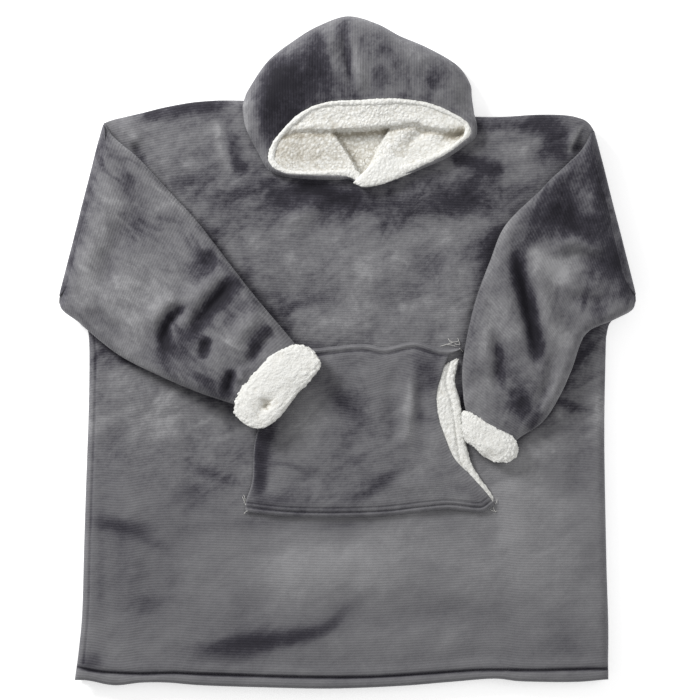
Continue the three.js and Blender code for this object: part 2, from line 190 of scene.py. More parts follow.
def coons(edges, nu, nv, crowd=0.75):
    """A grid over four edge curves: bottom and top run with u, left and right run with v."""
    u, v = (crowded(count, crowd) for count in (nu, nv))
    dense = {name: curve(points, 400) for name, points in edges.items()}
    bottom, top = (along(dense[name], u) for name in ("bottom", "top"))
    left, right = (along(dense[name], v) for name in ("left", "right"))
    u_, v_ = u[None, :, None], v[:, None, None]
    p = (1 - v_) * bottom[None] + v_ * top[None] + (1 - u_) * left[:, None] + u_ * right[:, None]
    low_corners = (1 - u_) * (1 - v_) * bottom[0] + u_ * (1 - v_) * bottom[-1]
    p -= low_corners + (1 - u_) * v_ * top[0] + u_ * v_ * top[-1]
    return p[..., 0], p[..., 1], dense


def rim_distance(x, y, dense, names=("bottom", "top", "left", "right")):
    """Distance to the nearest of a grid's edge curves."""
    return np.minimum.reduce([edge_distance(x, y, dense[name]) for name in names])


def round_off(distance, radius):
    """0 at an edge, rising as a quarter circle to 1 at radius from it."""
    return np.sqrt(np.clip(1 - (1 - np.clip(distance / radius, 0, 1)) ** 2, 0, 1))


def stroke(x, y, points, width, height, taper=0.35):
    """A soft ridge (or valley, with a negative height) along a given line, fading at its ends."""
    line = curve(points, 40)
    flat = np.stack([x.ravel(), y.ravel()], 1)
    best = np.full(len(flat), 1e9)
    where = np.zeros(len(flat))
    for k in range(len(line) - 1):
        d = line[k + 1] - line[k]
        t = np.clip(((flat - line[k]) @ d) / (d @ d + 1e-12), 0, 1)
        gap = ((flat - line[k] - t[:, None] * d) ** 2).sum(1)
        where = np.where(gap < best, (k + t) / (len(line) - 1), where)
        best = np.minimum(best, gap)
    fade = smoothstep(0, taper, where) * smoothstep(0, taper, 1 - where)
    return (height * np.exp(-best / (2 * width**2)) * fade).reshape(x.shape)


# ---------------------------------------------------------------- meshes
def make_mesh(name, vertices, faces, material, uv=None):
    """A smooth object from vertices and map coordinates in millimetres."""
    mesh = bpy.data.meshes.new(name)
    mesh.from_pydata((np.asarray(vertices, float) * MM).tolist(), [], faces)
    mesh.validate()
    mesh.polygons.foreach_set("use_smooth", [True] * len(mesh.polygons))
    if uv is not None:
        layer = mesh.uv_layers.new(name="UVMap")
        loops = np.zeros(len(mesh.loops), int)
        mesh.loops.foreach_get("vertex_index", loops)
        layer.data.foreach_set("uv", (np.asarray(uv, float)[loops] * MM).ravel())
    mesh.materials.append(material)
    piece = bpy.data.objects.new(name, mesh)
    bpy.context.scene.collection.objects.link(piece)
    return piece


def grid_faces(rows, columns, wrap_rows=False, wrap_columns=False, flip=False):
    """The four-sided faces of a grid of vertices numbered row by row."""
    r = np.arange(rows if wrap_rows else rows - 1)
    c = np.arange(columns if wrap_columns else columns - 1)
    rr, cc = np.meshgrid(r, c, indexing="ij")
    r1, c1 = (rr + 1) % rows, (cc + 1) % columns
    quad = np.stack([rr * columns + cc, rr * columns + c1, r1 * columns + c1, r1 * columns + cc], -1)
    if flip:
        quad = quad[..., ::-1]
    return quad.reshape(-1, 4).tolist()


def skin_faces(upper, lower):
    """The faces of two numbered grids, the upper one facing up and the lower one facing down."""
    above = np.stack([upper[:-1, :-1], upper[:-1, 1:], upper[1:, 1:], upper[1:, :-1]], -1)
    below = np.stack([lower[:-1, :-1], lower[1:, :-1], lower[1:, 1:], lower[:-1, 1:]], -1)
    return np.concatenate([above.reshape(-1, 4), below.reshape(-1, 4)]).tolist()


def normals_of(vertices, faces):
    """Unit normals at the vertices of four-sided faces."""
    v = np.asarray(vertices, float)
    f = np.asarray(faces)
    n = np.cross(v[f[:, 2]] - v[f[:, 0]], v[f[:, 3]] - v[f[:, 1]])
    total = np.zeros_like(v)
    for k in range(4):
        np.add.at(total, f[:, k], n)
    return total / (np.linalg.norm(total, axis=1, keepdims=True) + 1e-12)


def shade_points(piece, **values):
    """Stores a number per point for the material to read."""
    for name, numbers in values.items():
        layer = piece.data.attributes.new(name, "FLOAT", "POINT")
        layer.data.foreach_set("value", numbers.astype(np.float32))


def pad(name, x, y, top, bottom, material, **shades):
    """A closed soft sheet: the top and bottom heights over a grid, joined along the grid's rim."""
    nv, nu = x.shape
    upper = np.stack([x, y, top], -1).reshape(-1, 3)
    inside = np.zeros((nv, nu), bool)
    inside[1:-1, 1:-1] = True
    index = np.arange(nv * nu).reshape(nv, nu)
    under = index.copy()
    under[inside] = nv * nu + np.arange(inside.sum())
    lower = np.stack([x[inside], y[inside], bottom[inside]], -1)
    vertices = np.vstack([upper, lower])
    step_u = np.hypot(np.diff(x, axis=1), np.diff(y, axis=1)).mean(0)
    step_v = np.hypot(np.diff(x, axis=0), np.diff(y, axis=0)).mean(1)
    gu = np.concatenate([[0], np.cumsum(step_u)])
    gv = np.concatenate([[0], np.cumsum(step_v)])
    uu, vv = np.meshgrid(gu, gv)
    uv = np.stack([uu, vv], -1)
    uv = np.vstack([uv.reshape(-1, 2), uv[inside] + [0, 1000]])
    piece = make_mesh(name, vertices, skin_faces(index, under), material, uv)
    shade_points(piece, **{key: np.concatenate([v.ravel(), v[inside]]) for key, v in shades.items()})
    return piece


def fluff(piece, size, depth, seed, shadow=None):
    """Pushes a sherpa mesh along its normals into real clumps of pile; the stored clump value darkens the
    creases as painted shade, and shadow darkens the pile further as painted shade.
    """
    mesh = piece.data
    co, normal = np.zeros((2, len(mesh.vertices) * 3))
    mesh.vertices.foreach_get("co", co)
    mesh.vertices.foreach_get("normal", normal)
    co = co.reshape(-1, 3) / MM
    normal = normal.reshape(-1, 3)
    x, y, z = co.T
    wx = x + 2.0 * value_noise(x, y, z, size, seed + 5)
    wy = y + 2.0 * value_noise(x, y, z, size, seed + 6)
    lump = clumps(wx, wy, z, size, seed) * 0.75 + clumps(wx, wy, z, size * 0.45, seed + 9) * 0.25
    shift = depth * (lump - 0.35) + 0.5 * depth * fractal(x, y, z, size * 4, 2, seed + 3)
    co = co + normal * shift[:, None]
    mesh.vertices.foreach_set("co", (co * MM).ravel())
    # Painted shade: shadow lowers the stored clump value, which darkens the colour.
    if shadow is not None:
        lump = lump - shadow(x, y, z)
    shade_points(piece, pile=lump)
    mesh.update()
    return piece


def inside(x, y, outline):
    """True for each (x, y) within a closed outline."""
    p = np.asarray(outline, float)
    hit = np.zeros(x.shape, bool)
    for (ax, ay), (bx, by) in zip(p, np.roll(p, -1, axis=0)):
        crosses = (ay > y) != (by > y)
        hit ^= crosses & (x < (bx - ax) * (y - ay) / (by - ay + 1e-12) + ax)
    return hit


def blobs(x, y, patches):
    """Soft elliptical patches (x, y, radius along, radius across, degrees, strength), added up."""
    total = np.zeros(x.shape)
    for px, py, long, across, degrees, strength in patches:
        c, s = math.cos(math.radians(degrees)), math.sin(math.radians(degrees))
        u = ((x - px) * c + (y - py) * s) / long
        v = (-(x - px) * s + (y - py) * c) / across
        total += strength * np.exp(-(u**2 + v**2))
    return total


def streaks(x, y, marks):
    """Listed streaks in the nap, some of them painted shade (points, width, strength), added up."""
    return sum(stroke(x, y, points, width, strength, 0.22) for points, width, strength in marks)


# ---------------------------------------------------------------- materials
def new_material(name):
    """A material, its node tree and its shader."""
    material = bpy.data.materials.new(name)
    material.use_nodes = True
    tree = material.node_tree
    return material, tree, tree.nodes["Principled BSDF"]


def add_node(tree, kind, values=None, **properties):
    """A node with its properties and the values of its sockets set."""
    node = tree.nodes.new(kind)
    for key, value in properties.items():
        setattr(node, key, value)
    for key, value in (values or {}).items():
        node.inputs[key].default_value = value
    return node


def math_node(tree, operation, *terms, clamp=False):
    """The result of a sum on numbers and sockets."""
    node = add_node(tree, "ShaderNodeMath", operation=operation, use_clamp=clamp)
    for socket, value in zip(node.inputs, terms):
        if isinstance(value, (int, float)):
            socket.default_value = value
        else:
            tree.links.new(value, socket)
    return node.outputs[0]


def bump_node(tree, height, strength, distance, shader):
    """Roughens a shader's surface by a height, over a distance in millimetres."""
    bump = add_node(tree, "ShaderNodeBump", {"Strength": strength, "Distance": distance * MM})
    tree.links.new(height, bump.inputs["Height"])
    tree.links.new(bump.outputs[0], shader.inputs["Normal"])


def ramp_node(tree, source, stops):
    """The colour at a source's value, between (position, colour) stops."""
    node = add_node(tree, "ShaderNodeValToRGB")
    ramp = node.color_ramp
    while len(ramp.elements) < len(stops):
        ramp.elements.new(0.5)
    for element, (position, color) in zip(ramp.elements, stops):
        element.position = position
        element.color = (*color, 1)
    tree.links.new(source, node.inputs[0])
    return node.outputs[0]


def grey(level, tint=0.03):
    """A linear grey, faintly cool."""
    return (level * (1 - tint * 0.5), level * (1 - tint), level * (1 + tint * 1.4))


RIB_PITCH = 4.0 * MM
PLUSH_SHADES = [
    (0.00, grey(0.013, 0.15)),
    (0.22, grey(0.034, 0.11)),
    (0.42, grey(0.088, 0.05)),
    (0.58, grey(0.136, 0.028)),
    (0.78, grey(0.185, 0.018)),
    (1.00, grey(0.270, 0.012)),
]


def plush_material(name, angle):
    """Short plush: nap brushed light and dark in streaks that run at an angle, over fine knitted ribs."""
    material, tree, shader = new_material(name)
    place = add_node(tree, "ShaderNodeTexCoord").outputs["Object"]
    uv = add_node(tree, "ShaderNodeUVMap", uv_map="UVMap").outputs[0]
    # This attribute holds each piece's nap patches together with the painted light and shade set on that
    # piece.
    nap = add_node(tree, "ShaderNodeAttribute", attribute_name="nap").outputs["Fac"]
    calm = add_node(tree, "ShaderNodeAttribute", attribute_name="calm").outputs["Fac"]
    streak = add_node(tree, "ShaderNodeMapping", vector_type="TEXTURE")
    streak.inputs["Rotation"].default_value = (0, 0, math.radians(angle))
    streak.inputs["Scale"].default_value = (1.7, 0.85, 1.0)
    tree.links.new(place, streak.inputs["Vector"])
    streaked = streak.outputs[0]
    lively = math_node(tree, "MULTIPLY_ADD", calm, -0.78, 1.0)

    def noise(scale, detail, distortion=0.0, roughness=0.55, vector=place):
        values = {"Scale": scale, "Detail": detail, "Distortion": distortion, "Roughness": roughness}
        node = add_node(tree, "ShaderNodeTexNoise", values)
        tree.links.new(vector, node.inputs["Vector"])
        return math_node(tree, "SUBTRACT", node.outputs[0], 0.5)

    broad = math_node(tree, "MULTIPLY", noise(8.0, 7, 0.5, 0.6, streaked), lively)
    patch = math_node(tree, "MULTIPLY", noise(27.0, 6, 0.5, 0.68, streaked), lively)
    tuft = math_node(tree, "MULTIPLY", noise(120.0, 6, 0.3, 0.75), lively)
    crush = math_node(tree, "MULTIPLY", noise(64.0, 5, 0.2, 0.78), lively)
    speck = noise(430.0, 3, 0.0, 0.8)
    lie_and_shading = math_node(tree, "ADD", broad, math_node(tree, "MULTIPLY", nap, 0.95))
    lie_and_shading = math_node(tree, "ADD", lie_and_shading, math_node(tree, "MULTIPLY", patch, 0.55))

    def beyond(limit, gain):
        """How far the nap, with the painted light and shade added to it, lies past a limit, 0 to 1: brushed
        patches have firm, ragged borders.
        """
        return math_node(tree, "MULTIPLY", math_node(tree, "SUBTRACT", lie_and_shading, limit), gain, clamp=True)

    shade = math_node(tree, "MULTIPLY_ADD", beyond(-0.045, -4.5), -0.15, 0.60)
    lighter = beyond(0.045, 5.0)
    for part, share in (
        (lighter, 0.12), (lie_and_shading, 0.62), (patch, 0.55), (crush, 0.42), (tuft, 0.50), (speck, 0.22),
    ):
        shade = math_node(tree, "ADD", shade, math_node(tree, "MULTIPLY", part, share))
    knit = {"Scale": 0.314 / RIB_PITCH, "Distortion": 0.35, "Detail": 1.0, "Detail Scale": 1.5}
    wave = add_node(tree, "ShaderNodeTexWave", knit, bands_direction="Y")
    tree.links.new(uv, wave.inputs["Vector"])
    rib = math_node(tree, "SUBTRACT", wave.outputs["Fac"], 0.5)
    shade = math_node(tree, "ADD", shade, math_node(tree, "MULTIPLY", rib, 0.085))
    tree.links.new(ramp_node(tree, shade, PLUSH_SHADES), shader.inputs["Base Color"])

    fuzz = noise(620.0, 3, 0.0, 0.7)
    height = math_node(tree, "ADD", fuzz, math_node(tree, "MULTIPLY", rib, 0.5))
    height = math_node(tree, "ADD", height, math_node(tree, "MULTIPLY", tuft, 1.2))
    bump_node(tree, height, 0.6, 0.7, shader)
    rough = math_node(tree, "MULTIPLY_ADD", patch, 0.25, 0.78)
    tree.links.new(rough, shader.inputs["Roughness"])
    shader.inputs["Specular IOR Level"].default_value = 0.18
    shader.inputs["Sheen Weight"].default_value = 0.22
    shader.inputs["Sheen Roughness"].default_value = 0.42
    shader.inputs["Sheen Tint"].default_value = (0.62, 0.62, 0.68, 1)
    return material


def sherpa_material(name, shade_drop=0.0):
    """Curly white pile: bright crowns and creases darkened to a brownish grey as painted shade; a second
    argument darkens the whole pile as painted shade.
    """
    material, tree, shader = new_material(name)
    place = add_node(tree, "ShaderNodeTexCoord").outputs["Object"]
    pile = add_node(tree, "ShaderNodeAttribute", attribute_name="pile").outputs["Fac"]
    fine = add_node(tree, "ShaderNodeTexNoise", {"Scale": 420.0, "Detail": 4.0, "Roughness": 0.7})
    curl = add_node(tree, "ShaderNodeTexVoronoi", {"Scale": 260.0, "Randomness": 1.0})
    for node in (fine, curl):
        tree.links.new(place, node.inputs["Vector"])
    fleck = math_node(tree, "SUBTRACT", fine.outputs[0], 0.5)
    # Painted shade: low clump values in the creases, and the darkening argument, move the colour down the
    # ramp.
    shade = math_node(tree, "MULTIPLY_ADD", pile, 0.75, 0.30 - shade_drop)
    shade = math_node(tree, "ADD", shade, math_node(tree, "MULTIPLY", fleck, 0.35))
    stops = [
        (0.00, (0.36, 0.330, 0.27)),
        (0.26, (0.58, 0.560, 0.505)),
        (0.50, (0.73, 0.725, 0.690)),
        (1.00, (0.82, 0.822, 0.800)),
    ]
    tree.links.new(ramp_node(tree, shade, stops), shader.inputs["Base Color"])
    height = math_node(tree, "SUBTRACT", fleck, math_node(tree, "MULTIPLY", curl.outputs["Distance"], 0.8))
    bump_node(tree, height, 0.8, 1.1, shader)
    shader.inputs["Roughness"].default_value = 0.92
    shader.inputs["Specular IOR Level"].default_value = 0.15
    shader.inputs["Sheen Weight"].default_value = 0.15
    shader.inputs["Sheen Roughness"].default_value = 0.6
    return material


def thread_material(name, color):
    """Twisted sewing thread."""
    material, tree, shader = new_material(name)
    place = add_node(tree, "ShaderNodeTexCoord").outputs["Object"]
    coils = {"Scale": 380.0, "Distortion": 2.0}
    twist = add_node(tree, "ShaderNodeTexWave", coils, bands_direction="DIAGONAL")
    tree.links.new(place, twist.inputs["Vector"])
    stops = [(0.2, tuple(c * 0.55 for c in color)), (0.8, color)]
    tree.links.new(ramp_node(tree, twist.outputs["Fac"], stops), shader.inputs["Base Color"])
    bump_node(tree, twist.outputs["Fac"], 0.5, 0.2, shader)
    shader.inputs["Roughness"].default_value = 0.65
    return material


PLUSH = plush_material("plush", 28)
PLUSH_SLEEVE = {
    side: plush_material(f"plush_{side}_sleeve", angle) for side, angle in (("left", -42), ("right", 66))
}
PLUSH_HOOD = plush_material("plush_hood", 75)
SHERPA = sherpa_material("sherpa")
# Painted shade: a darker copy of the sherpa for pieces that lie down in shadow.
SHERPA_SHADED = sherpa_material("sherpa_shaded", 0.10)
DARK_THREAD = thread_material("dark_thread", grey(0.075))
LOOSE_THREAD = thread_material("loose_thread", (0.72, 0.71, 0.68))


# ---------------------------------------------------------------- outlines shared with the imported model
FOLD_LEFT = np.array([[-367.0, 343.0], [-434.0, 80.0]])
FOLD_RIGHT = np.array([[370.0, 334.0], [434.0, 82.0]])
HEM = [
    (-412, -497), (-391, -498), (-352, -505), (-311, -501), (-271, -501), (-221, -505), (-131, -508),
    (-26, -510), (79, -506), (154, -500), (221, -495), (263, -499), (341, -500), (394, -496),
]
SHOULDERS = [
    (-367, 343), (-346, 352), (-309, 361), (-272, 370), (-221, 378), (-154, 379), (0, 370), (193, 355),
    (289, 358), (331, 357), (353, 352), (363, 345), (370, 334),
]
SIDE_LEFT = [
    (-412, -497), (-409, -470), (-402, -400), (-399, -300), (-396, -205), (-392, -90), (-391, 0),
    (-394, 34), (-405, 47), (-428, 64), (-434, 80),
]
SIDE_RIGHT = [
    (394, -496), (395, -420), (392, -313), (389, -133), (391, 0), (393, 28), (400, 46), (427, 65), (434, 82),
]
HEM_STITCH = [
    (-406, -477), (-373, -483), (-320, -486), (-263, -485), (-221, -487), (-26, -492), (79, -489),
    (199, -481), (280, -481), (361, -479), (391, -479),
]
SLEEVE_LEFT = {
    "bottom": FOLD_LEFT,
    "top": [(-72, 4), (-112, -30), (-156, -86)],
    "left": [
        (-367, 343), (-352, 323), (-337, 309), (-310, 286), (-259, 231), (-221, 189), (-146, 92),
        (-84, 18), (-72, 4),
    ],
    "right": [
        (-434, 80), (-429, 62), (-404, 44), (-392, 33), (-341, -7), (-281, -37), (-221, -62), (-173, -78),
        (-156, -86),
    ],
}
SLEEVE_RIGHT = {
    "bottom": FOLD_RIGHT[::-1],
    "top": [(247, -142), (214, -124), (183, -102)],
    "left": [
        (434, 82), (428, 62), (398, 46), (357, 25), (336, -28), (319, -66), (293, -106), (258, -130),
        (247, -142),
    ],
    "right": [
        (370, 334), (352, 303), (331, 282), (304, 257), (289, 241), (237, 189), (214, 136), (192, 76),
        (178, 16), (172, -28), (173, -60), (176, -84), (183, -102),
    ],
}


def outline_of(edges):
    """One closed outline round four edge curves."""
    there = [curve(edges["bottom"], 30), curve(edges["right"], 60)]
    return np.vstack([*there, curve(edges["top"], 20)[::-1], curve(edges["left"], 60)[::-1]])


def finish_piece(piece, body, slot, *stands_for):
    """Fixes a piece to a body and hides the CAD nodes it stands for; slot is not used."""
    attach(piece, body)
    if stands_for:
        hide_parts(*stands_for)
    return piece


# ---------------------------------------------------------------- body
TORSO = {
    "bottom": HEM,
    "top": SHOULDERS,
    "left": [*SIDE_LEFT, (-417, 147), (-400, 212), (-384, 277), (-367, 343)],
    "right": [*SIDE_RIGHT, (418, 145), (402, 208), (386, 271), (370, 334)],
}
HINGE_Z = BODY_TOP + 0.15
MID_Z = BODY_TOP / 2
FOLD_RADIUS = HINGE_Z - 0.6
# The body's two layers, from the floor up: the back's top, the front's underside, the front down the neck.
BACK_TOP = 11.6
FRONT_UNDER = 16.0
NECK_FLOOR = 17.4


def torso_fields(x, y, dense):
    """Distances that the body's two layers are shaped by."""
    fold = np.minimum(edge_distance(x, y, FOLD_LEFT), edge_distance(x, y, FOLD_RIGHT))
    hem = edge_distance(x, y, dense["bottom"])
    lines = [curve(SIDE_LEFT, 200), curve(SIDE_RIGHT, 200), dense["top"]]
    return fold, hem, np.minimum.reduce([edge_distance(x, y, line) for line in lines])


def hem_line(x):
    """Where the hem's stitch line runs at each x."""
    line = curve(HEM_STITCH, 200)
    return np.interp(x, line[:, 0], line[:, 1])


# Strokes are soft ridges and creases (points, width, height), marks are streaks (points, width, strength) and
# naps are patches (x, y, radius along, radius across, degrees, strength); both hold nap brushed light and
# dark and painted light and shade.
BODY_STROKES = [
    ([(-197, 350), (-184, 285), (-167, 196)], 4, -1.0),
    ([(-322, 322), (-319, 307), (-312, 290), (-300, 276)], 5, -5.0),
    ([(-346, 346), (-326, 330), (-318, 316), (-316, 300)], 6, 4.0),
    ([(352, 343), (344, 328), (337, 315), (331, 300)], 5, 4.5),
    ([(360, 318), (350, 306), (338, 296)], 6, -4.0),
    ([(24, 246), (40, 222), (62, 196), (72, 170)], 8, -3.0),
    ([(-30, 250), (-44, 226), (-70, 205), (-110, 190)], 11, 3.5),
    ([(70, 250), (96, 226), (120, 214), (160, 206)], 12, 3.0),
    ([(-390, -20), (-330, -60), (-260, -78), (-190, -100)], 16, 2.5),
    ([(-360, -150), (-330, -230), (-322, -330), (-340, -420)], 15, 2.2),
    ([(-170, -300), (-90, -330), (20, -322), (120, -345)], 20, 2.4),
    ([(240, -60), (256, -150), (250, -260), (270, -360)], 17, 2.4),
    ([(330, -40), (350, -140), (338, -260)], 13, -2.2),
    ([(-60, -380), (40, -402), (160, -396), (290, -420)], 16, -2.0),
    ([(300, -60), (318, -100), (360, -130)], 9, 2.4),
    ([(-250, -120), (-232, -190), (-240, -260)], 14, -2.0),
    ([(-40, 150), (30, 120), (110, 118)], 18, 2.2),
    ([(-130, 110), (-60, 76), (30, 62)], 14, -2.0),
    ([(150, 160), (150, 90), (130, 50)], 14, 2.2),
]
# Painted light and shade: the dark streak along y 232-250 lies just under the hood's lower edge as painted
# shadow, and the thin light mark from (355, 343) to (332, 296) lies on a ridge of BODY_STROKES as a painted
# highlight.
BODY_MARKS = [
    ([(-199, 350), (-192, 305), (-174, 264)], 5, 0.34),
    ([(-174, 338), (-166, 288), (-150, 262)], 8, -0.34),
    ([(-330, 352), (-260, 368), (-170, 372)], 11, -0.42),
    ([(-165, 184), (-156, 140), (-143, 104)], 6, -0.22),
    ([(355, 343), (340, 316), (332, 296)], 1.8, 0.40),
    ([(-96, 250), (-50, 246), (-10, 232), (40, 236)], 9, -0.36),
    ([(-112, 96), (-90, 60), (-84, 26)], 9, -0.20),
    ([(150, 300), (190, 282), (244, 272)], 8, -0.40),
    ([(300, -70), (340, -84), (380, -92)], 6, -0.30),
    ([(312, -112), (345, -118), (376, -112)], 4, -0.22),
]
# Painted shadow: the dark patches near y 222-236 lie just under the hood's lower edge, and the thin dark
# strips at y -258 and -262 just under the pocket's bottom edge.
BODY_NAP_AND_SHADING = [
    (-5, 228, 120, 26, -8, -0.26), (150, 232, 60, 34, 20, -0.22), (215, 342, 90, 13, -2, -0.32),
    (258, 278, 40, 22, 52, 0.24), (312, 296, 26, 44, 0, -0.34), (240, 190, 14, 26, 0, 0.22),
    (150, 146, 12, 34, 0, 0.16), (176, 222, 40, 26, 0, -0.18), (-236, 284, 18, 10, 30, 0.26),
    (-214, 318, 22, 12, 60, 0.14), (330, 320, 60, 34, -20, -0.22), (-160, 300, 60, 44, 60, -0.12),
    (-100, 170, 120, 44, 10, 0.10), (130, 185, 60, 26, 12, 0.16), (-20, 120, 90, 46, 0, -0.08),
    (90, 60, 120, 22, 4, 0.10), (-100, -425, 80, 26, 4, -0.24), (-330, -300, 34, 100, 8, -0.24),
    (-350, -120, 26, 90, 0, -0.14), (-290, -90, 60, 60, 0, 0.10), (-250, -200, 70, 44, -30, -0.14),
    (-190, -340, 90, 50, 10, 0.08), (330, -440, 30, 26, 0, -0.22), (-382, -462, 16, 14, 0, -0.30),
    (300, -180, 70, 130, 0, 0.10), (355, 10, 40, 44, 0, -0.20), (380, -130, 12, 200, 0, 0.06),
    (60, -290, 160, 26, 0, 0.08), (120, -440, 160, 34, 0, 0.06), (-225, 306, 50, 60, 20, -0.16),
    (0, -340, 460, 190, 0, 0.135), (0, 90, 150, 70, 0, 0.09), (-345, -262, 60, 12, -4, -0.26),
    (-300, -285, 40, 11, -24, -0.20), (-262, -350, 16, 40, 14, -0.14), (-300, -380, 34, 14, 10, -0.14),
    (-160, -440, 60, 13, 8, -0.34), (-80, -432, 70, 13, 14, -0.30), (-10, -396, 50, 12, 40, -0.22),
    (-190, -456, 60, 16, 0, -0.16), (-150, -258, 50, 9, 4, -0.22), (-20, -262, 60, 8, 2, -0.20),
    (-80, 236, 90, 24, 8, -0.20), (-300, -70, 100, 20, -6, -0.18), (-190, -190, 40, 8, -24, -0.20),
    (-372, -330, 10, 110, 0, -0.16),
]
NECK_HOLE = [(-92, 366), (-88, 300), (-54, 270), (20, 263), (84, 268), (122, 300), (128, 358)]


def body_front():
    """The front panel: folds, pleats and a stitched hem, pressed flat under the sleeves, open at the neck."""
    x, y, dense = coons(TORSO, 230, 240)
    fold, hem, side = torso_fields(x, y, dense)
    near_fold = 1 - smoothstep(0, 32, fold)
    near_hem = 1 - smoothstep(0, 34, hem)
    middle = MID_Z + 0.4 + (FOLD_RADIUS - MID_Z) * near_fold + 6.5 * near_hem * (1 - near_fold)
    wave = 3.2 * fractal(x, y, 0, 170, 3, 11) + 1.6 * fractal(x, y, 0, 48, 3, 12)
    for points, width, height in BODY_STROKES:
        wave = wave + stroke(x, y, points, width, 1.4 * height)
    calm = round_off(side, 60) * (0.35 + 0.65 * round_off(hem, 60)) * (1 - near_fold)
    top = BODY_TOP + wave * calm
    stitch = y - hem_line(x)
    top = top + 1.6 * bell(stitch - 9, 7) + 1.2 * bell(stitch + 8, 6)
    top = top - 5.0 * bell(stitch + 0.5, 2.0)
    seam = edge_distance(x, y, curve([(px + 11, py) for px, py in SIDE_LEFT[1:8]], 120))
    top = top - 1.8 * bell(seam, 1.8)
    # The layers that lie on the front hold it down, and under marks a band along their edges where the nap is
    # darkened as a painted contact shadow.
    under = np.zeros(x.shape)
    for cover in (outline_of(SLEEVE_LEFT), outline_of(SLEEVE_RIGHT)):
        covered = inside(x, y, cover)
        edge = edge_distance(x, y, cover)
        top = np.minimum(top, BODY_TOP + 0.1 + 0.45 * np.where(covered, 0, edge))
        under = np.maximum(under, np.exp(-edge / np.where(covered, 4, 13)) * smoothstep(225, 180, y))
    well = np.where(inside(x, y, NECK_HOLE), edge_distance(x, y, curve([*NECK_HOLE, NECK_HOLE[0]], 200)), 0)
    top = top - (BODY_TOP - NECK_FLOOR) * smoothstep(0, 9, well)
    top = middle + (top - middle) * round_off(side, 15) * round_off(hem, 7) * round_off(fold, 5)
    low = middle + (FRONT_UNDER - middle) * round_off(side, 10) * round_off(hem, 8) * round_off(fold, 16)
    # Painted shadow: under darkens the nap beside and just inside the sleeves' edges.
    nap = blobs(x, y, BODY_NAP_AND_SHADING) + streaks(x, y, BODY_MARKS) - 0.34 * under
    # Painted light and shade: a soft dark band above the stitch line on the left, a painted highlight along
    # the left edges, a dark line in the stitch groove with the hem a touch lighter below it, and raised folds
    # lighter with hollows darker.
    nap = nap - 0.16 * bell(stitch - 9, 9) * smoothstep(-120, -330, x)
    nap = nap + 0.10 * bell(side, 11) * (x < 0)
    nap = nap - 0.35 * bell(stitch, 3.0) + 0.05 * (stitch < -3)
    nap = nap + 0.035 * (top - BODY_TOP) * calm
    nap = nap - 0.16 * bell(seam, 2.4)
    calm_nap = 0.82 * smoothstep(-60, -250, y) * (1 - blobs(x, y, [(-190, -170, 120, 60, -10, 0.7)]))
    piece = pad("body_front", x, y, top, low, PLUSH, nap=nap, calm=calm_nap)
    armholes = ["armhole_seam_left", "armhole_seam_right"]
    return finish_piece(piece, "torso", "plush", "front_outer", "neck_seam", *armholes)


def body_back():
    """The back panel, on the floor, meeting the front at the sides, shoulders and hem."""
    x, y, dense = coons(TORSO, 120, 130)
    fold, hem, side = torso_fields(x, y, dense)
    near_fold = 1 - smoothstep(0, 32, fold)
    near_hem = 1 - smoothstep(0, 34, hem)
    middle = MID_Z - 0.4 + (HINGE_Z - 1.4 - MID_Z) * near_fold - 7.0 * near_hem * (1 - near_fold)
    rise = 1.2 * (1 + fractal(x, y, 0, 150, 3, 21)) * round_off(np.minimum(side, hem), 60)
    groove = 2.0 * bell(y - hem_line(x), 2.2)
    top = middle + (BACK_TOP - middle) * round_off(side, 10) * round_off(hem, 8) * round_off(fold, 22)
    shut = round_off(side, 15) * round_off(hem, 7) * round_off(fold, FOLD_RADIUS)
    low = middle + (0.4 + rise * 0.6 + groove - middle) * shut
    nap = 0.25 * fractal(x, y, 0, 120, 3, 22)
    piece = pad("body_back", x, y, top, low, PLUSH, nap=nap, calm=np.full(x.shape, 0.5))
    seams = [f"{kind}_seam_{side}" for kind in ("side", "shoulder") for side in ("left", "right")]
    return finish_piece(piece, "torso", "plush", "back_outer", *seams)


def body_lining(name, node, low, high, seed):
    """A sherpa layer inside the body, seen along the open hem."""
    edges = {
        "bottom": [(-388, -484), (-220, -490), (-26, -495), (200, -485), (370, -483)],
        "top": [(-340, 330), (-154, 362), (193, 340), (345, 322)],
        "left": [(-388, -484), (-378, -205), (-372, 34), (-340, 330)],
        "right": [(370, -483), (370, -133), (372, 34), (345, 322)],
    }
    x, y, dense = coons(edges, 150, 120, 0.85)
    rim = rim_distance(x, y, dense)
    middle = (low + high) / 2
    share = round_off(rim, (high - low) / 2)
    piece = pad(name, x, y, middle + (high - middle) * share, middle + (low - middle) * share, SHERPA)
    fluff(piece, 6, 0.5, seed)
    return finish_piece(piece, "torso", "sherpa", node)


front = body_front()
body_back()


def neck_opening():
    """The sherpa of the body's back, seen down the neck when the hood is lifted away."""
    p = np.array(NECK_HOLE, float)
    edges = {"bottom": p[2:5], "top": p[[0, 6]], "left": p[[2, 1, 0]], "right": p[4:7]}
    x, y, dense = coons(edges, 90, 70, 0.5)
    rim = rim_distance(x, y, dense)
    share = round_off(rim, 8)
    middle = 19.0
    top = middle + 0.8 * share - 0.6 * fractal(x, y, 0, 40, 2, 33) * share
    # Its sherpa is the darker painted-shade copy, as it lies down in the neck.
    piece = pad("neck_opening", x, y, top, middle - 3.0 * share, SHERPA_SHADED)
    fluff(piece, 6.5, 1.4, 34)
    return finish_piece(piece, "torso", "sherpa")


neck_opening()
body_lining("body_lining_front", "front_lining", 14.1, 16.6, 31)
body_lining("body_lining_back", "back_lining", 11.0, 13.6, 32)


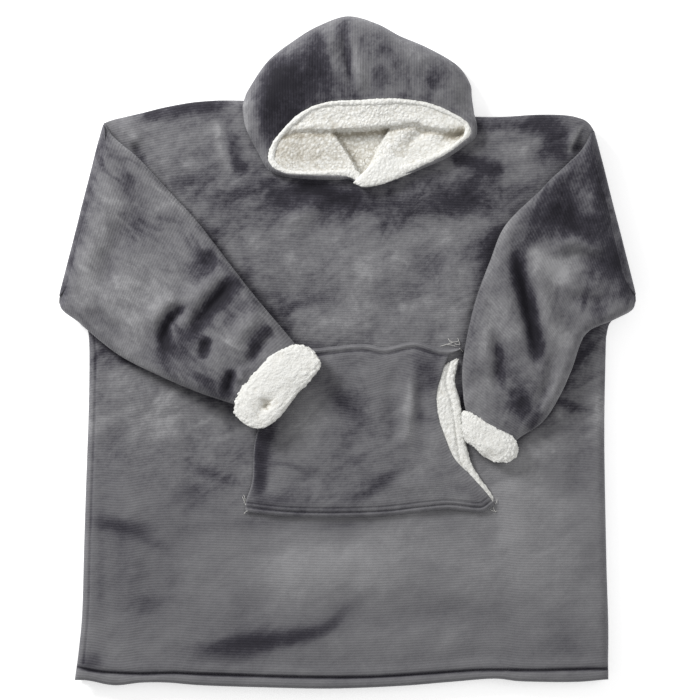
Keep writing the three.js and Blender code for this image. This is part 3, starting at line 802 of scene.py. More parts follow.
# ---------------------------------------------------------------- sleeves
CUFF_TOP_LEFT = height_of("left_cuff", 1)
CUFF_LOW_LEFT = height_of("left_cuff", 0)
CUFF_TOP_RIGHT = height_of("right_cuff", 1)
SLEEVE_LOW = BODY_TOP + 0.6

LEFT_STROKES = [
    ([(-235, 74), (-258, 54), (-272, 32), (-270, -8)], 7, -8.0),
    ([(-246, 84), (-280, 62), (-296, 28)], 12, 4.5),
    ([(-161, 113), (-200, 72), (-232, 32), (-240, 10)], 7, -7.0),
    ([(-176, 130), (-214, 92), (-250, 60)], 10, 4.0),
    ([(-211, 20), (-214, -14)], 6, -5.0),
    ([(-172, -26), (-176, -46), (-180, -68)], 5, -6.0),
    ([(-152, -20), (-160, -50)], 6, 3.0),
    ([(-204, 150), (-210, 122)], 8, -4.0),
    ([(-330, 300), (-360, 220), (-390, 140), (-408, 80)], 20, 3.5),
    ([(-290, 240), (-330, 180), (-372, 110), (-390, 60)], 15, -3.0),
    ([(-345, 130), (-330, 70), (-300, 10)], 13, 2.5),
    ([(-120, 66), (-150, 36), (-176, -4)], 10, 3.0),
    ([(-100, 40), (-130, 4), (-160, -30)], 6, -3.0),
    ([(-392, 70), (-360, 42), (-330, 16)], 9, -3.0),
]
RIGHT_STROKES = [
    ([(251, 160), (258, 120), (270, 60), (280, 10), (285, -36)], 7, -9.0),
    ([(268, 170), (280, 120), (296, 50), (306, -10)], 14, 4.5),
    ([(232, 160), (236, 100), (246, 40), (252, -30)], 13, 4.5),
    ([(300, 156), (340, 162), (402, 146)], 8, 5.0),
    ([(306, 138), (350, 140), (404, 122)], 8, -5.0),
    ([(340, 280), (330, 220), (346, 170)], 14, -4.0),
    ([(312, 120), (350, 96), (390, 84)], 12, 3.5),
    ([(330, 60), (348, 80), (392, 66)], 9, -3.5),
    ([(204, 70), (206, 10), (214, -50)], 9, 3.0),
    ([(300, 10), (302, -40), (276, -96)], 7, -4.0),
    ([(222, 40), (226, -20), (222, -70)], 6, -3.5),
    ([(360, 250), (376, 210), (392, 176)], 12, 3.5),
]
# Painted shade: the dark marks that lie on creases drawn in LEFT_STROKES and RIGHT_STROKES darken those
# creases.
LEFT_MARKS = [
    ([(-158, 118), (-190, 80), (-214, 48), (-238, 14)], 6.5, -0.58),
    ([(-234, 74), (-258, 56), (-272, 34), (-272, 4), (-266, -14)], 5, -0.50),
    ([(-204, 24), (-212, 2), (-214, -16)], 5, -0.44),
    ([(-104, 36), (-128, 26), (-140, 4), (-146, -22)], 8, -0.42),
    ([(-168, -24), (-176, -46), (-182, -72)], 5, -0.52),
    ([(-222, 84), (-250, 70), (-262, 40), (-252, 4)], 4, 0.20),
    ([(-140, 96), (-176, 62), (-204, 34)], 6, 0.22),
    ([(-300, 196), (-278, 214), (-250, 222)], 5, 0.16),
]
RIGHT_MARKS = [
    ([(246, 160), (256, 110), (268, 64), (282, 16), (276, -24)], 8, -0.44),
    ([(270, 166), (282, 142), (312, 118), (340, 100)], 13, 0.42),
    ([(214, 92), (226, 50), (244, 6)], 12, 0.24),
    ([(290, 36), (312, 24), (340, 4)], 8, 0.18),
    ([(318, 74), (342, 58), (366, 48)], 8, 0.18),
    ([(204, -30), (222, -56), (244, -70)], 8, 0.16),
    ([(250, -64), (272, -96), (268, -124)], 12, -0.32),
    ([(286, 240), (330, 196), (392, 148), (424, 112)], 13, -0.34),
    ([(196, 120), (190, 60), (188, 0), (186, -60)], 6, -0.16),
    ([(330, 250), (352, 226), (360, 196)], 9, 0.16),
]
# Painted shade: the dark patches that sit on creases of LEFT_STROKES and RIGHT_STROKES darken those creases.
LEFT_NAP_AND_SHADING = [
    (-330, 250, 90, 40, -60, -0.12), (-380, 130, 80, 30, 70, 0.14), (-300, 60, 90, 30, 50, 0.10),
    (-255, 20, 36, 22, 60, -0.26), (-205, 40, 60, 22, 50, -0.20), (-206, 136, 26, 18, 70, -0.28),
    (-170, 60, 60, 22, 45, -0.12), (-120, 50, 40, 16, 50, 0.12), (-260, 170, 70, 30, 50, 0.08),
    (-210, -40, 40, 22, 20, -0.14), (-340, 0, 60, 14, -30, 0.10),
]
RIGHT_NAP_AND_SHADING = [
    (320, 230, 80, 60, 60, -0.34), (380, 210, 80, 26, 75, -0.28), (404, 112, 44, 40, 0, -0.32),
    (330, 130, 50, 20, 20, 0.18), (310, 32, 40, 30, 0, 0.12), (272, 70, 100, 14, 100, -0.22),
    (230, 110, 60, 30, 70, -0.16), (200, 0, 90, 22, 95, 0.08), (250, -60, 40, 40, 0, -0.12),
    (300, -60, 30, 40, 0, 0.06), (350, 60, 50, 20, 20, -0.16), (240, -40, 60, 34, 100, -0.20),
    (290, 40, 60, 60, 0, -0.12), (284, 190, 40, 24, 40, -0.14),
]


def sleeve(side, edges, low_at, thick_at, strokes, patches, marks, seed):
    """A soft closed sleeve, thick along its middle, rolled at its edges and folded at the armhole."""
    x, y, dense = coons(edges, 130, 210, 0.6)
    fold = edge_distance(x, y, dense["bottom"])
    wrist = edge_distance(x, y, dense["top"])
    rim = np.minimum(edge_distance(x, y, dense["left"]), edge_distance(x, y, dense["right"]))
    # Clear of the body's own edge at the fold, so that the two can turn about it.
    x = x + (1.4 if side == "left" else -1.4) * (1 - smoothstep(0, 16, fold))
    low = low_at(fold, wrist)
    thick = thick_at(fold, wrist)
    middle = low + 0.4 + (thick * 0.42) * smoothstep(2, 46, fold)
    wave = 3.6 * fractal(x, y, 0, 95, 3, seed) + 1.8 * fractal(x, y, 0, 36, 3, seed + 1)
    for points, width, height in strokes:
        wave = wave + stroke(x, y, points, width, 1.5 * height)
    calm = round_off(rim, 26) * round_off(wrist, 30) * smoothstep(4, 40, fold)
    full = low + thick + wave * calm
    top = middle + (full - middle) * round_off(rim, 17) * round_off(fold, FOLD_RADIUS) * round_off(wrist, 7)
    bottom = middle + (low - middle) * round_off(rim, 12) * round_off(fold, 3) * round_off(wrist, 7)
    # Darker toward the fold; painted light on raised folds, and a painted highlight along the sleeve's edges.
    nap = blobs(x, y, patches) + streaks(x, y, marks) - 0.30 * bell(fold, 22) + 0.026 * wave * calm
    nap = nap + 0.05 * (1 - smoothstep(0, 10, rim)) + 0.12 * bell(rim, 2.2)
    piece = pad(f"{side}_sleeve_fabric", x, y, top, bottom, PLUSH_SLEEVE[side], nap=nap)
    return finish_piece(piece, f"{side}_sleeve", "plush", f"{side}_sleeve_outer", f"{side}_sleeve_lining")


def left_low(fold, wrist):
    """The left sleeve's underside, which rises toward the wrist to lie on the pocket."""
    return SLEEVE_LOW + (CUFF_LOW_LEFT + 8.5 - SLEEVE_LOW) * smoothstep(110, 330, fold)


def right_low(fold, wrist):
    """The right sleeve's underside, which rises only at the cuff."""
    return SLEEVE_LOW + 5 * (1 - smoothstep(6, 70, wrist))


def left_thick(fold, wrist):
    return 19 + 8.5 * smoothstep(4, 90, wrist)


def right_thick(fold, wrist):
    return 16 + 11 * smoothstep(4, 90, wrist)


sleeve("left", SLEEVE_LEFT, left_low, left_thick, LEFT_STROKES, LEFT_NAP_AND_SHADING, LEFT_MARKS, 41)
sleeve("right", SLEEVE_RIGHT, right_low, right_thick, RIGHT_STROKES, RIGHT_NAP_AND_SHADING, RIGHT_MARKS, 51)


def fold_cover(side, line, outward):
    """Fabric round the rolled fold between the body and a sleeve."""
    steps, turns, skin = 120, 26, 1.1
    half_angle = 62
    a, b = line
    run = np.linspace(0.012, 0.988, steps)
    from_end = np.minimum(run, 1 - run) * np.hypot(*(b - a))
    spread = 0.04 + 0.96 * round_off(from_end, 46)[:, None]
    share = np.linspace(-1, 1, turns)[None]
    angle = np.radians(2 + half_angle * share) * spread
    normal = np.array(outward) / np.hypot(*outward)
    proud = 0.15 + 0.85 * np.sqrt(1 - share**2) * spread
    rings = []
    for radius in (FOLD_RADIUS + proud, FOLD_RADIUS + proud - skin):
        in_plane = radius * np.cos(angle) - FOLD_RADIUS
        height = HINGE_Z + radius * np.sin(angle)
        base = a + (b - a) * run[:, None]
        swell = 0.5 * fractal(base[:, :1], base[:, 1:], 0, 60, 2, 61)
        x = base[:, :1] + normal[0] * (in_plane + swell)
        y = base[:, 1:] + normal[1] * (in_plane + swell)
        rings.append(np.stack([x, y, np.broadcast_to(height, x.shape)], -1))
    outer, inner = rings
    inner[:, 0], inner[:, -1], inner[0], inner[-1] = outer[:, 0], outer[:, -1], outer[0], outer[-1]
    count = steps * turns
    vertices = np.vstack([outer.reshape(-1, 3), inner.reshape(-1, 3)])
    index = np.arange(count).reshape(steps, turns)
    under = index + count
    under[:, 0], under[:, -1], under[0], under[-1] = index[:, 0], index[:, -1], index[0], index[-1]
    faces = skin_faces(index, under)
    if np.cross([*(b - a), 0], [*normal, 0])[2] > 0:
        faces = [face[::-1] for face in faces]
    arc = np.radians(128) * FOLD_RADIUS * np.linspace(0, 1, turns)
    length = np.hypot(*(b - a)) * run
    uv = np.stack(np.broadcast_arrays(length[:, None], arc[None]), -1).reshape(-1, 2)
    piece = make_mesh(f"{side}_fold_cover", vertices, faces, PLUSH_SLEEVE[side], np.vstack([uv, uv]))
    shade_points(piece, nap=np.full(2 * count, -0.26))
    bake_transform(piece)
    return piece


fold_cover("left", FOLD_LEFT, (-0.969, 0.247))
fold_cover("right", FOLD_RIGHT, (0.969, 0.246))


# ---------------------------------------------------------------- cuffs
def cuff(side, inner, outer, low, high, dents, seed):
    """A fat rolled band of sherpa, squashed flat round the wrist, from its sleeve edge to its mouth edge."""
    turns, rounds = 220, 84
    t = np.linspace(0, 2 * math.pi, turns, endpoint=False)
    s = np.linspace(0, 2 * math.pi, rounds, endpoint=False)
    power = lambda value, n: np.sign(value) * np.abs(value) ** n
    loop_u, loop_z = power(np.cos(t), 0.62), power(np.sin(t), 0.8)
    near, far = (along(curve(line, 300), loop_u, -1) for line in (inner, outer))
    wall = 6.0
    share = (0.5 + 0.5 * power(np.cos(s), 0.75))[None, :, None]
    thick = power(np.sin(s), 0.85)
    plan = near[:, None] * (1 - share) + far[:, None] * share
    wrist = far[0] + near[0] - far[turns // 2] - near[turns // 2]
    wrist = wrist / np.linalg.norm(wrist)
    # The wall's thickness pushes the band's ends outward along the wrist and its faces up and down.
    push = wall * (thick - 1)[None] * loop_u[:, None]
    x = plan[..., 0] + wrist[0] * push
    y = plan[..., 1] + wrist[1] * push
    half_height = (high - low) / 2
    z = loop_z[:, None] * (half_height - wall + wall * thick[None])
    for dx, dy, across, depth in dents:
        gap = (x - dx) ** 2 + (y - dy) ** 2
        z = np.where(z > 0, z - depth * np.exp(-gap / (2 * across**2)) * (thick[None] > -0.2), z)
    z = z + 1.6 * fractal(x, y, z, 34, 2, seed + 2) * np.sign(z) * (thick[None] > 0)
    z = (low + high) / 2 + z
    vertices = np.stack([x, y, z], -1).reshape(-1, 3)
    faces = grid_faces(turns, rounds, wrap_rows=True, wrap_columns=True)
    crown = vertices[:, 2] > high - 3
    if normals_of(vertices, faces)[crown, 2].sum() < 0:
        faces = grid_faces(turns, rounds, wrap_rows=True, wrap_columns=True, flip=True)
    piece = make_mesh(f"{side}_cuff_band", vertices, faces, SHERPA)
    # Painted shade: the pile is darkened in each dent on the band's upper face.
    dent_shadow = [(dx, dy, 1.6 * across, 1.6 * across, 0, 0.05 * depth) for dx, dy, across, depth in dents]
    fluff(piece, 5.2, 3.2, seed, lambda px, py, pz: blobs(px, py, dent_shadow) * (pz > (low + high) / 2))
    return finish_piece(piece, f"{side}_sleeve", "sherpa", f"{side}_cuff")


cuff(
    "left",
    [(-170, -90), (-167, -68), (-152, -46), (-126, -17), (-98, 4), (-74, 13), (-60, 8)],
    [(-166, -96), (-152, -113), (-126, -116), (-97, -92), (-76, -66), (-56, -44), (-38, -20), (-46, -2)],
    CUFF_LOW_LEFT + 1.5, CUFF_TOP_LEFT - 1.5,
    [(-121, -80, 4.5, 12), (-131, -92, 6, 4), (-111, -72, 6, 3)], 71,
)
cuff(
    "right",
    [(257, -142), (250, -129), (219, -114), (193, -98), (178, -89), (170, -88)],
    [(253, -161), (241, -167), (217, -165), (197, -152), (182, -140), (173, -134)],
    SLEEVE_LOW + 1.5, CUFF_TOP_RIGHT - 1,
    [(214, -158, 6, 4)], 73,
)


# ---------------------------------------------------------------- pocket
POCKET_TOP = height_of("pocket_outer", 1)
POCKET = {
    "bottom": [
        (-153, -243), (-96, -249), (-32, -251), (50, -249), (108, -243), (152, -239), (200, -243),
        (220, -232),
    ],
    "top": [(-84, 2), (-50, 4), (20, 11), (56, 6), (88, 13), (108, 14), (140, 4), (172, 4)],
    "left": [(-153, -243), (-153, -226), (-143, -194), (-138, -130), (-112, -60), (-84, 2)],
    "right": [
        (220, -232), (214, -220), (187, -189), (161, -162), (149, -136), (137, -101), (134, -66), (141, -37),
        (152, -8), (172, 4),
    ],
}
POCKET_LIP = [
    (220, -227), (216, -214), (199, -191), (185, -166), (180, -148), (176, -124), (172, -90), (168, -69),
    (162, -48), (163, -32), (168, -12),
]
POCKET_STROKES = [
    ([(92, -14), (95, -60), (90, -100), (84, -160)], 7, 5.5),
    ([(70, -14), (66, -70), (72, -150)], 8, -3.0),
    ([(112, -30), (112, -80), (120, -140)], 8, -3.0),
    ([(-60, -20), (-80, -90), (-70, -160)], 16, 2.4),
    ([(-120, -200), (-50, -190), (20, -206)], 12, -2.0),
    ([(10, -40), (0, -110), (14, -190)], 15, -1.8),
    ([(150, -190), (110, -200), (60, -196)], 9, 2.2),
    ([(-10, -2), (10, -18), (40, -26)], 7, -2.0),
]
# Painted light and shade: the light strip at (96, -70) lies on the ridge of the first stroke and the dark
# strip at (104, -100) beside it.
POCKET_NAP_AND_SHADING = [
    (120, -28, 26, 40, 10, -0.26), (96, -70, 60, 7, 92, 0.16), (104, -100, 50, 8, 92, -0.14),
    (-10, -74, 46, 16, -40, -0.26), (50, -196, 40, 16, 35, -0.24), (-131, -168, 54, 12, 90, -0.50),
    (-116, -120, 30, 12, 80, -0.20), (-84, -172, 34, 7, -14, -0.22), (-60, -110, 40, 40, 0, 0.12),
    (0, -40, 50, 24, 0, 0.06), (-120, -225, 40, 10, 10, -0.16), (130, -130, 22, 40, 0, 0.06),
    (130, -220, 60, 14, 0, 0.08), (196, -222, 16, 10, 20, -0.14), (60, -100, 30, 30, 0, -0.12),
]


def pocket_outer():
    """The pouch pocket: plush over the body, seamed at its top and bottom, open at both sides."""
    x, y, dense = coons(POCKET, 170, 130, 0.8)
    seam_low = edge_distance(x, y, dense["bottom"])
    seam_top = edge_distance(x, y, dense["top"])
    left = edge_distance(x, y, dense["left"])
    right = edge_distance(x, y, dense["right"])
    lift = (POCKET_TOP - 2.6 - BODY_TOP) * round_off(seam_low, 26) * round_off(seam_top, 30)
    lift = lift * (0.45 + 0.55 * smoothstep(0, 70, left))
    wave = 1.0 * fractal(x, y, 0, 80, 3, 81)
    for points, width, height in POCKET_STROKES:
        wave = wave + stroke(x, y, points, width, height)
    rim = np.minimum(left, right)
    calm = round_off(seam_low, 40) * round_off(seam_top, 34) * (0.3 + 0.7 * round_off(rim, 24))
    skin = 3.0
    full = BODY_TOP + 2.6 + lift + wave * calm
    full = full + 3.0 * bell(seam_top - 4.0, 3.0) - 1.3 * bell(seam_top - 10.5, 1.8)
    full = full + 1.4 * bell(seam_low - 3.5, 3.0) - 1.6 * bell(seam_low - 8.5, 1.5)
    full = full - 1.2 * bell(seam_low - 15, 1.4)
    middle = full - skin / 2 - 0.6
    top = middle + (full - middle) * round_off(rim, 4.5) * round_off(np.minimum(seam_low, seam_top), 2.5)
    low = middle + (full - skin - middle) * round_off(rim, 3)
    hold = round_off(np.minimum(seam_low, seam_top), 4)
    sewn = (seam_low < 1e-6) | (seam_top < 1e-6)
    low = np.where(sewn, middle, low)
    top = np.where(sewn, BODY_TOP + 0.5, top)
    low = np.maximum(low, BODY_TOP + 0.5 * hold)
    # Painted light and shade: raised folds and the ridge beside the top seam lighter, the grooves beside both
    # seams darker, and a painted highlight along both mouths' edges.
    nap = blobs(x, y, POCKET_NAP_AND_SHADING) + 0.03 * wave * calm + 0.10 * bell(seam_top - 3.5, 3.2)
    nap = nap - 0.24 * bell(seam_top - 10.5, 2.2) - 0.20 * bell(seam_low - 8.5, 1.8)
    nap = nap - 0.14 * bell(seam_low - 15, 1.6) + 0.08 * bell(right, 5) + 0.30 * bell(left, 1.8)
    piece = pad("pocket_fabric", x, y, top, low, PLUSH, nap=nap, calm=np.full(x.shape, 0.45))
    tacks = [f"pocket_tack_{level}_{side}" for level in ("top", "bottom") for side in ("left", "right")]
    return finish_piece(piece, "torso", "plush", "pocket_outer", *tacks)


def pocket_lip():
    """The sherpa lining that rolls out past the right mouth."""
    mouth = [*POCKET["right"][:-2], (150, -22), (166, -10)]
    inner = curve([(px - 15 * math.sin(math.pi * k / 9) - 1, py) for k, (px, py) in enumerate(mouth)], 60)
    edges = {
        "bottom": [inner[0], POCKET_LIP[0]],
        "top": [inner[-1], POCKET_LIP[-1]],
        "left": inner,
        "right": POCKET_LIP,
    }
    x, y, dense = coons(edges, 60, 190, 0.5)
    outer = edge_distance(x, y, dense["right"])
    ends = np.minimum(edge_distance(x, y, dense["bottom"]), edge_distance(x, y, dense["top"]))
    hidden = edge_distance(x, y, dense["left"])
    base = BODY_TOP + 0.5
    full = base + 9.0 * round_off(ends, 40) - 2.6 * bell(outer - 13, 2.6) * round_off(ends, 60)
    middle = base + (full - base) * 0.45
    top = middle + (full - middle) * round_off(outer, 6) * round_off(hidden, 4) * round_off(ends, 6)
    low = middle + (base - middle) * round_off(outer, 5) * round_off(hidden, 4) * round_off(ends, 6)
    piece = pad("pocket_lip", x, y, top, low, SHERPA)
    fluff(piece, 6.5, 1.9, 91)
    return finish_piece(piece, "torso", "sherpa", "pocket_lining")


pocket = pocket_outer()
pocket_lip()


# ---------------------------------------------------------------- hood
HOOD_CENTRE = np.array([40.0, 318.0])
HOOD_OUTLINE = [
    (24, 245), (63, 254), (112, 274), (149, 290), (176, 308), (193, 322), (194, 345), (189, 384), (186, 406),
    (166, 434), (122, 460), (80, 478), (44, 497), (0, 508), (-45, 493), (-80, 472), (-119, 442), (-145, 406),
    (-157, 380), (-155, 343), (-145, 318), (-133, 296), (-122, 276), (-106, 265), (-71, 259), (-20, 257),
    (4, 258),
]
HOOD_RIM = [
    (24, 249), (63, 258), (110, 278), (146, 295), (171, 313), (183, 326), (178, 342), (150, 359), (116, 371),
    (75, 376), (26, 374), (-32, 371), (-70, 355), (-107, 318), (-118, 292), (-111, 276), (-90, 266),
    (-56, 264), (-20, 264), (2, 262),
]


def polar(points, count):
    """The distance from the hood's middle to a closed outline, at evenly spaced bearings."""
    p = np.array([*points[-2:], *points, *points[:2]], float)
    line = curve(p, 3000)[60:-60]
    d = line - HOOD_CENTRE
    bearing = np.unwrap(np.arctan2(d[:, 1], d[:, 0]))
    order = np.argsort(bearing)
    wanted = np.linspace(0, 2 * math.pi, count, endpoint=False)
    return np.interp(wanted, bearing[order] % (2 * math.pi), np.hypot(*d[order].T), period=2 * math.pi)


def body_height(x, y):
    """What the hood rests on: the floor beyond the shoulders, the front of the body over them."""
    shoulder = curve(SHOULDERS, 200)
    line = np.interp(x, shoulder[:, 0], shoulder[:, 1])
    return (BODY_TOP + 0.8) * smoothstep(7, -14, y - line)


HOOD_STROKES = [
    ([(0, 502), (-4, 462), (4, 420), (11, 384)], 4, -5.0),
    ([(-24, 492), (-26, 446), (-10, 412), (-4, 388)], 8, 5.0),
    ([(8, 446), (20, 400), (36, 384)], 8, 5.5),
    ([(-90, 440), (-100, 400), (-94, 372)], 16, -3.0),
    ([(-130, 400), (-134, 350), (-124, 310)], 12, 2.5),
    ([(110, 440), (120, 410), (112, 390)], 16, -2.5),
    ([(60, 470), (90, 440), (140, 420)], 18, 2.5),
    ([(186, 340), (180, 352), (168, 362)], 5, -3.0),
    ([(-60, 466), (-66, 430), (-56, 400)], 12, 2.5),
]
# Painted light and shade: the light strips at (-24, 464) and (22, 412) lie on ridges of HOOD_STROKES and the
# dark one at (2, 450) in its seam crease; the narrow light bands at (-153, 350) and (-130, 300) are a painted
# highlight along the left edge.
HOOD_NAP_AND_SHADING = [
    (-24, 464, 60, 9, 96, 0.22), (22, 412, 40, 10, 115, 0.24), (2, 450, 60, 7, 96, -0.30),
    (-90, 410, 60, 40, 50, -0.22), (-40, 400, 26, 40, 0, -0.10), (84, 410, 44, 40, 0, -0.18),
    (150, 400, 40, 30, 60, -0.12), (-130, 300, 50, 14, 116, 0.18), (-153, 350, 44, 7, 90, 0.16),
    (-112, 384, 50, 26, 76, -0.34), (186, 352, 30, 10, 90, 0.12), (60, 486, 60, 14, -24, 0.10),
    (-90, 340, 60, 14, 54, -0.14), (-100, 372, 60, 44, 50, -0.26), (-60, 420, 70, 30, 40, -0.16),
    (20, 400, 26, 60, 90, -0.10), (60, 440, 70, 22, -30, -0.10), (-32, 446, 52, 24, 90, -0.34),
    (-84, 352, 30, 14, 40, -0.20),
]


def ring_grid(inner, outer, rings, crowd=0.75):
    """A polar grid between two closed outlines round the hood's middle; rows run outward."""
    count = len(inner)
    bearing = np.linspace(0, 2 * math.pi, count, endpoint=False)[:, None]
    reach = inner[:, None] + (outer - inner)[:, None] * crowded(rings, crowd)[None]
    return HOOD_CENTRE[0] + reach * np.cos(bearing), HOOD_CENTRE[1] + reach * np.sin(bearing), reach


def ring_piece(name, x, y, top, low, material, closed_middle=False, **shades):
    """A closed sheet over a polar grid, joined along its outer rim and along, or across, its inner one."""
    count, rings = x.shape
    size = count * rings
    vertices = np.vstack([np.stack([x, y, z], -1).reshape(-1, 3) for z in (top, low)])
    index = np.arange(size).reshape(count, rings)
    under = index + size
    under[:, -1] = index[:, -1]
    if not closed_middle:
        under[:, 0] = index[:, 0]
    faces = skin_faces(np.vstack([index, index[:1]]), np.vstack([under, under[:1]]))
    if closed_middle:
        faces += [index[:, 0].tolist(), under[::-1, 0].tolist()]
    uv = np.stack([y, x], -1).reshape(-1, 2)
    piece = make_mesh(name, vertices, faces, material, np.vstack([uv, uv]))
    shade_points(piece, **{key: np.concatenate([v.ravel()] * 2) for key, v in shades.items()})
    # Where the two layers share a rim, the lower one's own points are spare.
    spare = np.setdiff1d(np.arange(2 * size), np.concatenate([index.ravel(), under.ravel()]))
    work = bmesh.new()
    work.from_mesh(piece.data)
    work.verts.ensure_lookup_table()
    bmesh.ops.delete(work, geom=[work.verts[k] for k in spare], context="VERTS")
    work.to_mesh(piece.data)
    work.free()
    return piece


TURNS = 420
OUTLINE_REACH = polar(HOOD_OUTLINE, TURNS)
RIM_REACH = np.minimum(polar(HOOD_RIM, TURNS), OUTLINE_REACH - 3.5)
BEARING = np.linspace(0, 2 * math.pi, TURNS, endpoint=False)
HOOD_HIGH = height_of("hood_rim", 1)
# The rim stands highest at the crown and lowest at the front of the neck.
RIM_HEIGHT = HOOD_HIGH - 12 + 6 * np.sin(BEARING)


def hood_outer():
    """The hood's plush, from the rim of the face opening down to the hood's outline."""
    x, y, reach = ring_grid(RIM_REACH, OUTLINE_REACH, 90, 0.85)
    width = (OUTLINE_REACH - RIM_REACH)[:, None]
    to_outline = OUTLINE_REACH[:, None] - reach
    to_rim = reach - RIM_REACH[:, None]
    base = body_height(x, y)
    span = np.minimum(width, 46)
    bulge = 3.5 * np.minimum(width, 60) / 60 * np.sin(math.pi * np.clip(to_rim / width, 0, 1)) ** 0.7
    peak = RIM_HEIGHT[:, None] + bulge
    wave = 2.6 * fractal(x, y, 0, 80, 3, 101) + 1.4 * fractal(x, y, 0, 30, 3, 102)
    for points, spread, height in HOOD_STROKES:
        wave = wave + stroke(x, y, points, spread, height)
    calm = round_off(to_outline, 30) * np.clip(0.25 + to_rim / 26, 0, 1) * smoothstep(4, 40, width)
    edge = base + np.minimum(5.0, width / 3)
    full = edge + (peak - edge) * round_off(to_outline, span) + wave * calm
    lip = 2.6
    skin = 7.0
    top = full - lip + lip * round_off(to_rim, np.minimum(lip * 1.3, width / 2))
    low = np.maximum(full - lip - (skin - lip) * round_off(to_rim, 4), base + 0.4)
    low = edge + (low - edge) * round_off(to_outline, 4)
    # Painted light and shade: raised folds lighter, a painted highlight along the outline and at the rim's
    # edge, and painted shade in a band just inside the rim.
    nap = blobs(x, y, HOOD_NAP_AND_SHADING) + 0.03 * wave * calm + 0.08 * bell(to_outline, 8)
    nap = nap - 0.10 * bell(to_rim - 7, 3) * smoothstep(10, 30, width) + 0.06 * bell(to_rim, 3)
    piece = ring_piece("hood_fabric", x, y, top, low, PLUSH_HOOD, nap=nap)
    return finish_piece(piece, "hood", "plush", "hood_outer_left", "hood_outer_right", "hood_center_seam")


def hood_back():
    """The back of the hood, on the floor beyond the shoulders, sewn to the body at the nape."""
    edges = {
        "bottom": [(-136, 384), (-60, 384), (60, 378), (176, 370)],
        "top": [(-136, 412), (-80, 468), (-44, 488), (0, 502), (44, 491), (110, 462), (162, 430), (182, 404)],
        "left": [(-136, 384), (-140, 398), (-136, 412)],
        "right": [(176, 370), (183, 386), (182, 404)],
    }
    x, y, dense = coons(edges, 130, 60)
    rim = rim_distance(x, y, dense)
    ripple = 0.8 * (1 + fractal(x, y, 0, 70, 3, 111))
    share = round_off(rim, 7)
    middle = 5
    top = middle + 3.5 * share
    low = middle - (4.6 - ripple) * share
    piece = pad("hood_back", x, y, top, low, PLUSH_HOOD, nap=0.2 * fractal(x, y, 0, 90, 3, 112))
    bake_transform(piece)
    return piece


def beside(x, y, points):
    """Signed distance to a given line: positive on its left as it runs."""
    line = curve(points, 60)
    best = np.full(x.shape, 1e9)
    sign = np.zeros(x.shape)
    for a, b in zip(line[:-1], line[1:]):
        d = b - a
        t = np.clip(((x - a[0]) * d[0] + (y - a[1]) * d[1]) / (d @ d), 0, 1)
        gap = np.hypot(x - a[0] - t * d[0], y - a[1] - t * d[1])
        turn = d[0] * (y - a[1]) - d[1] * (x - a[0])
        sign = np.where(gap < best, np.sign(turn), sign)
        best = np.minimum(best, gap)
    return best * sign


CROWN_FOLD = [
    (-120, 322), (-69, 330), (-22, 330), (17, 332), (64, 336), (104, 341), (112, 336), (150, 330), (176, 330),
]
LEFT_EDGE = [(-26, 345), (-22, 330), (-3, 302), (11, 279), (14, 262)]
RIGHT_EDGE = [(84, 352), (64, 336), (44, 300), (28, 268), (14, 250)]
RIGHT_CREASE = [(112, 338), (92, 318), (72, 292), (60, 272)]


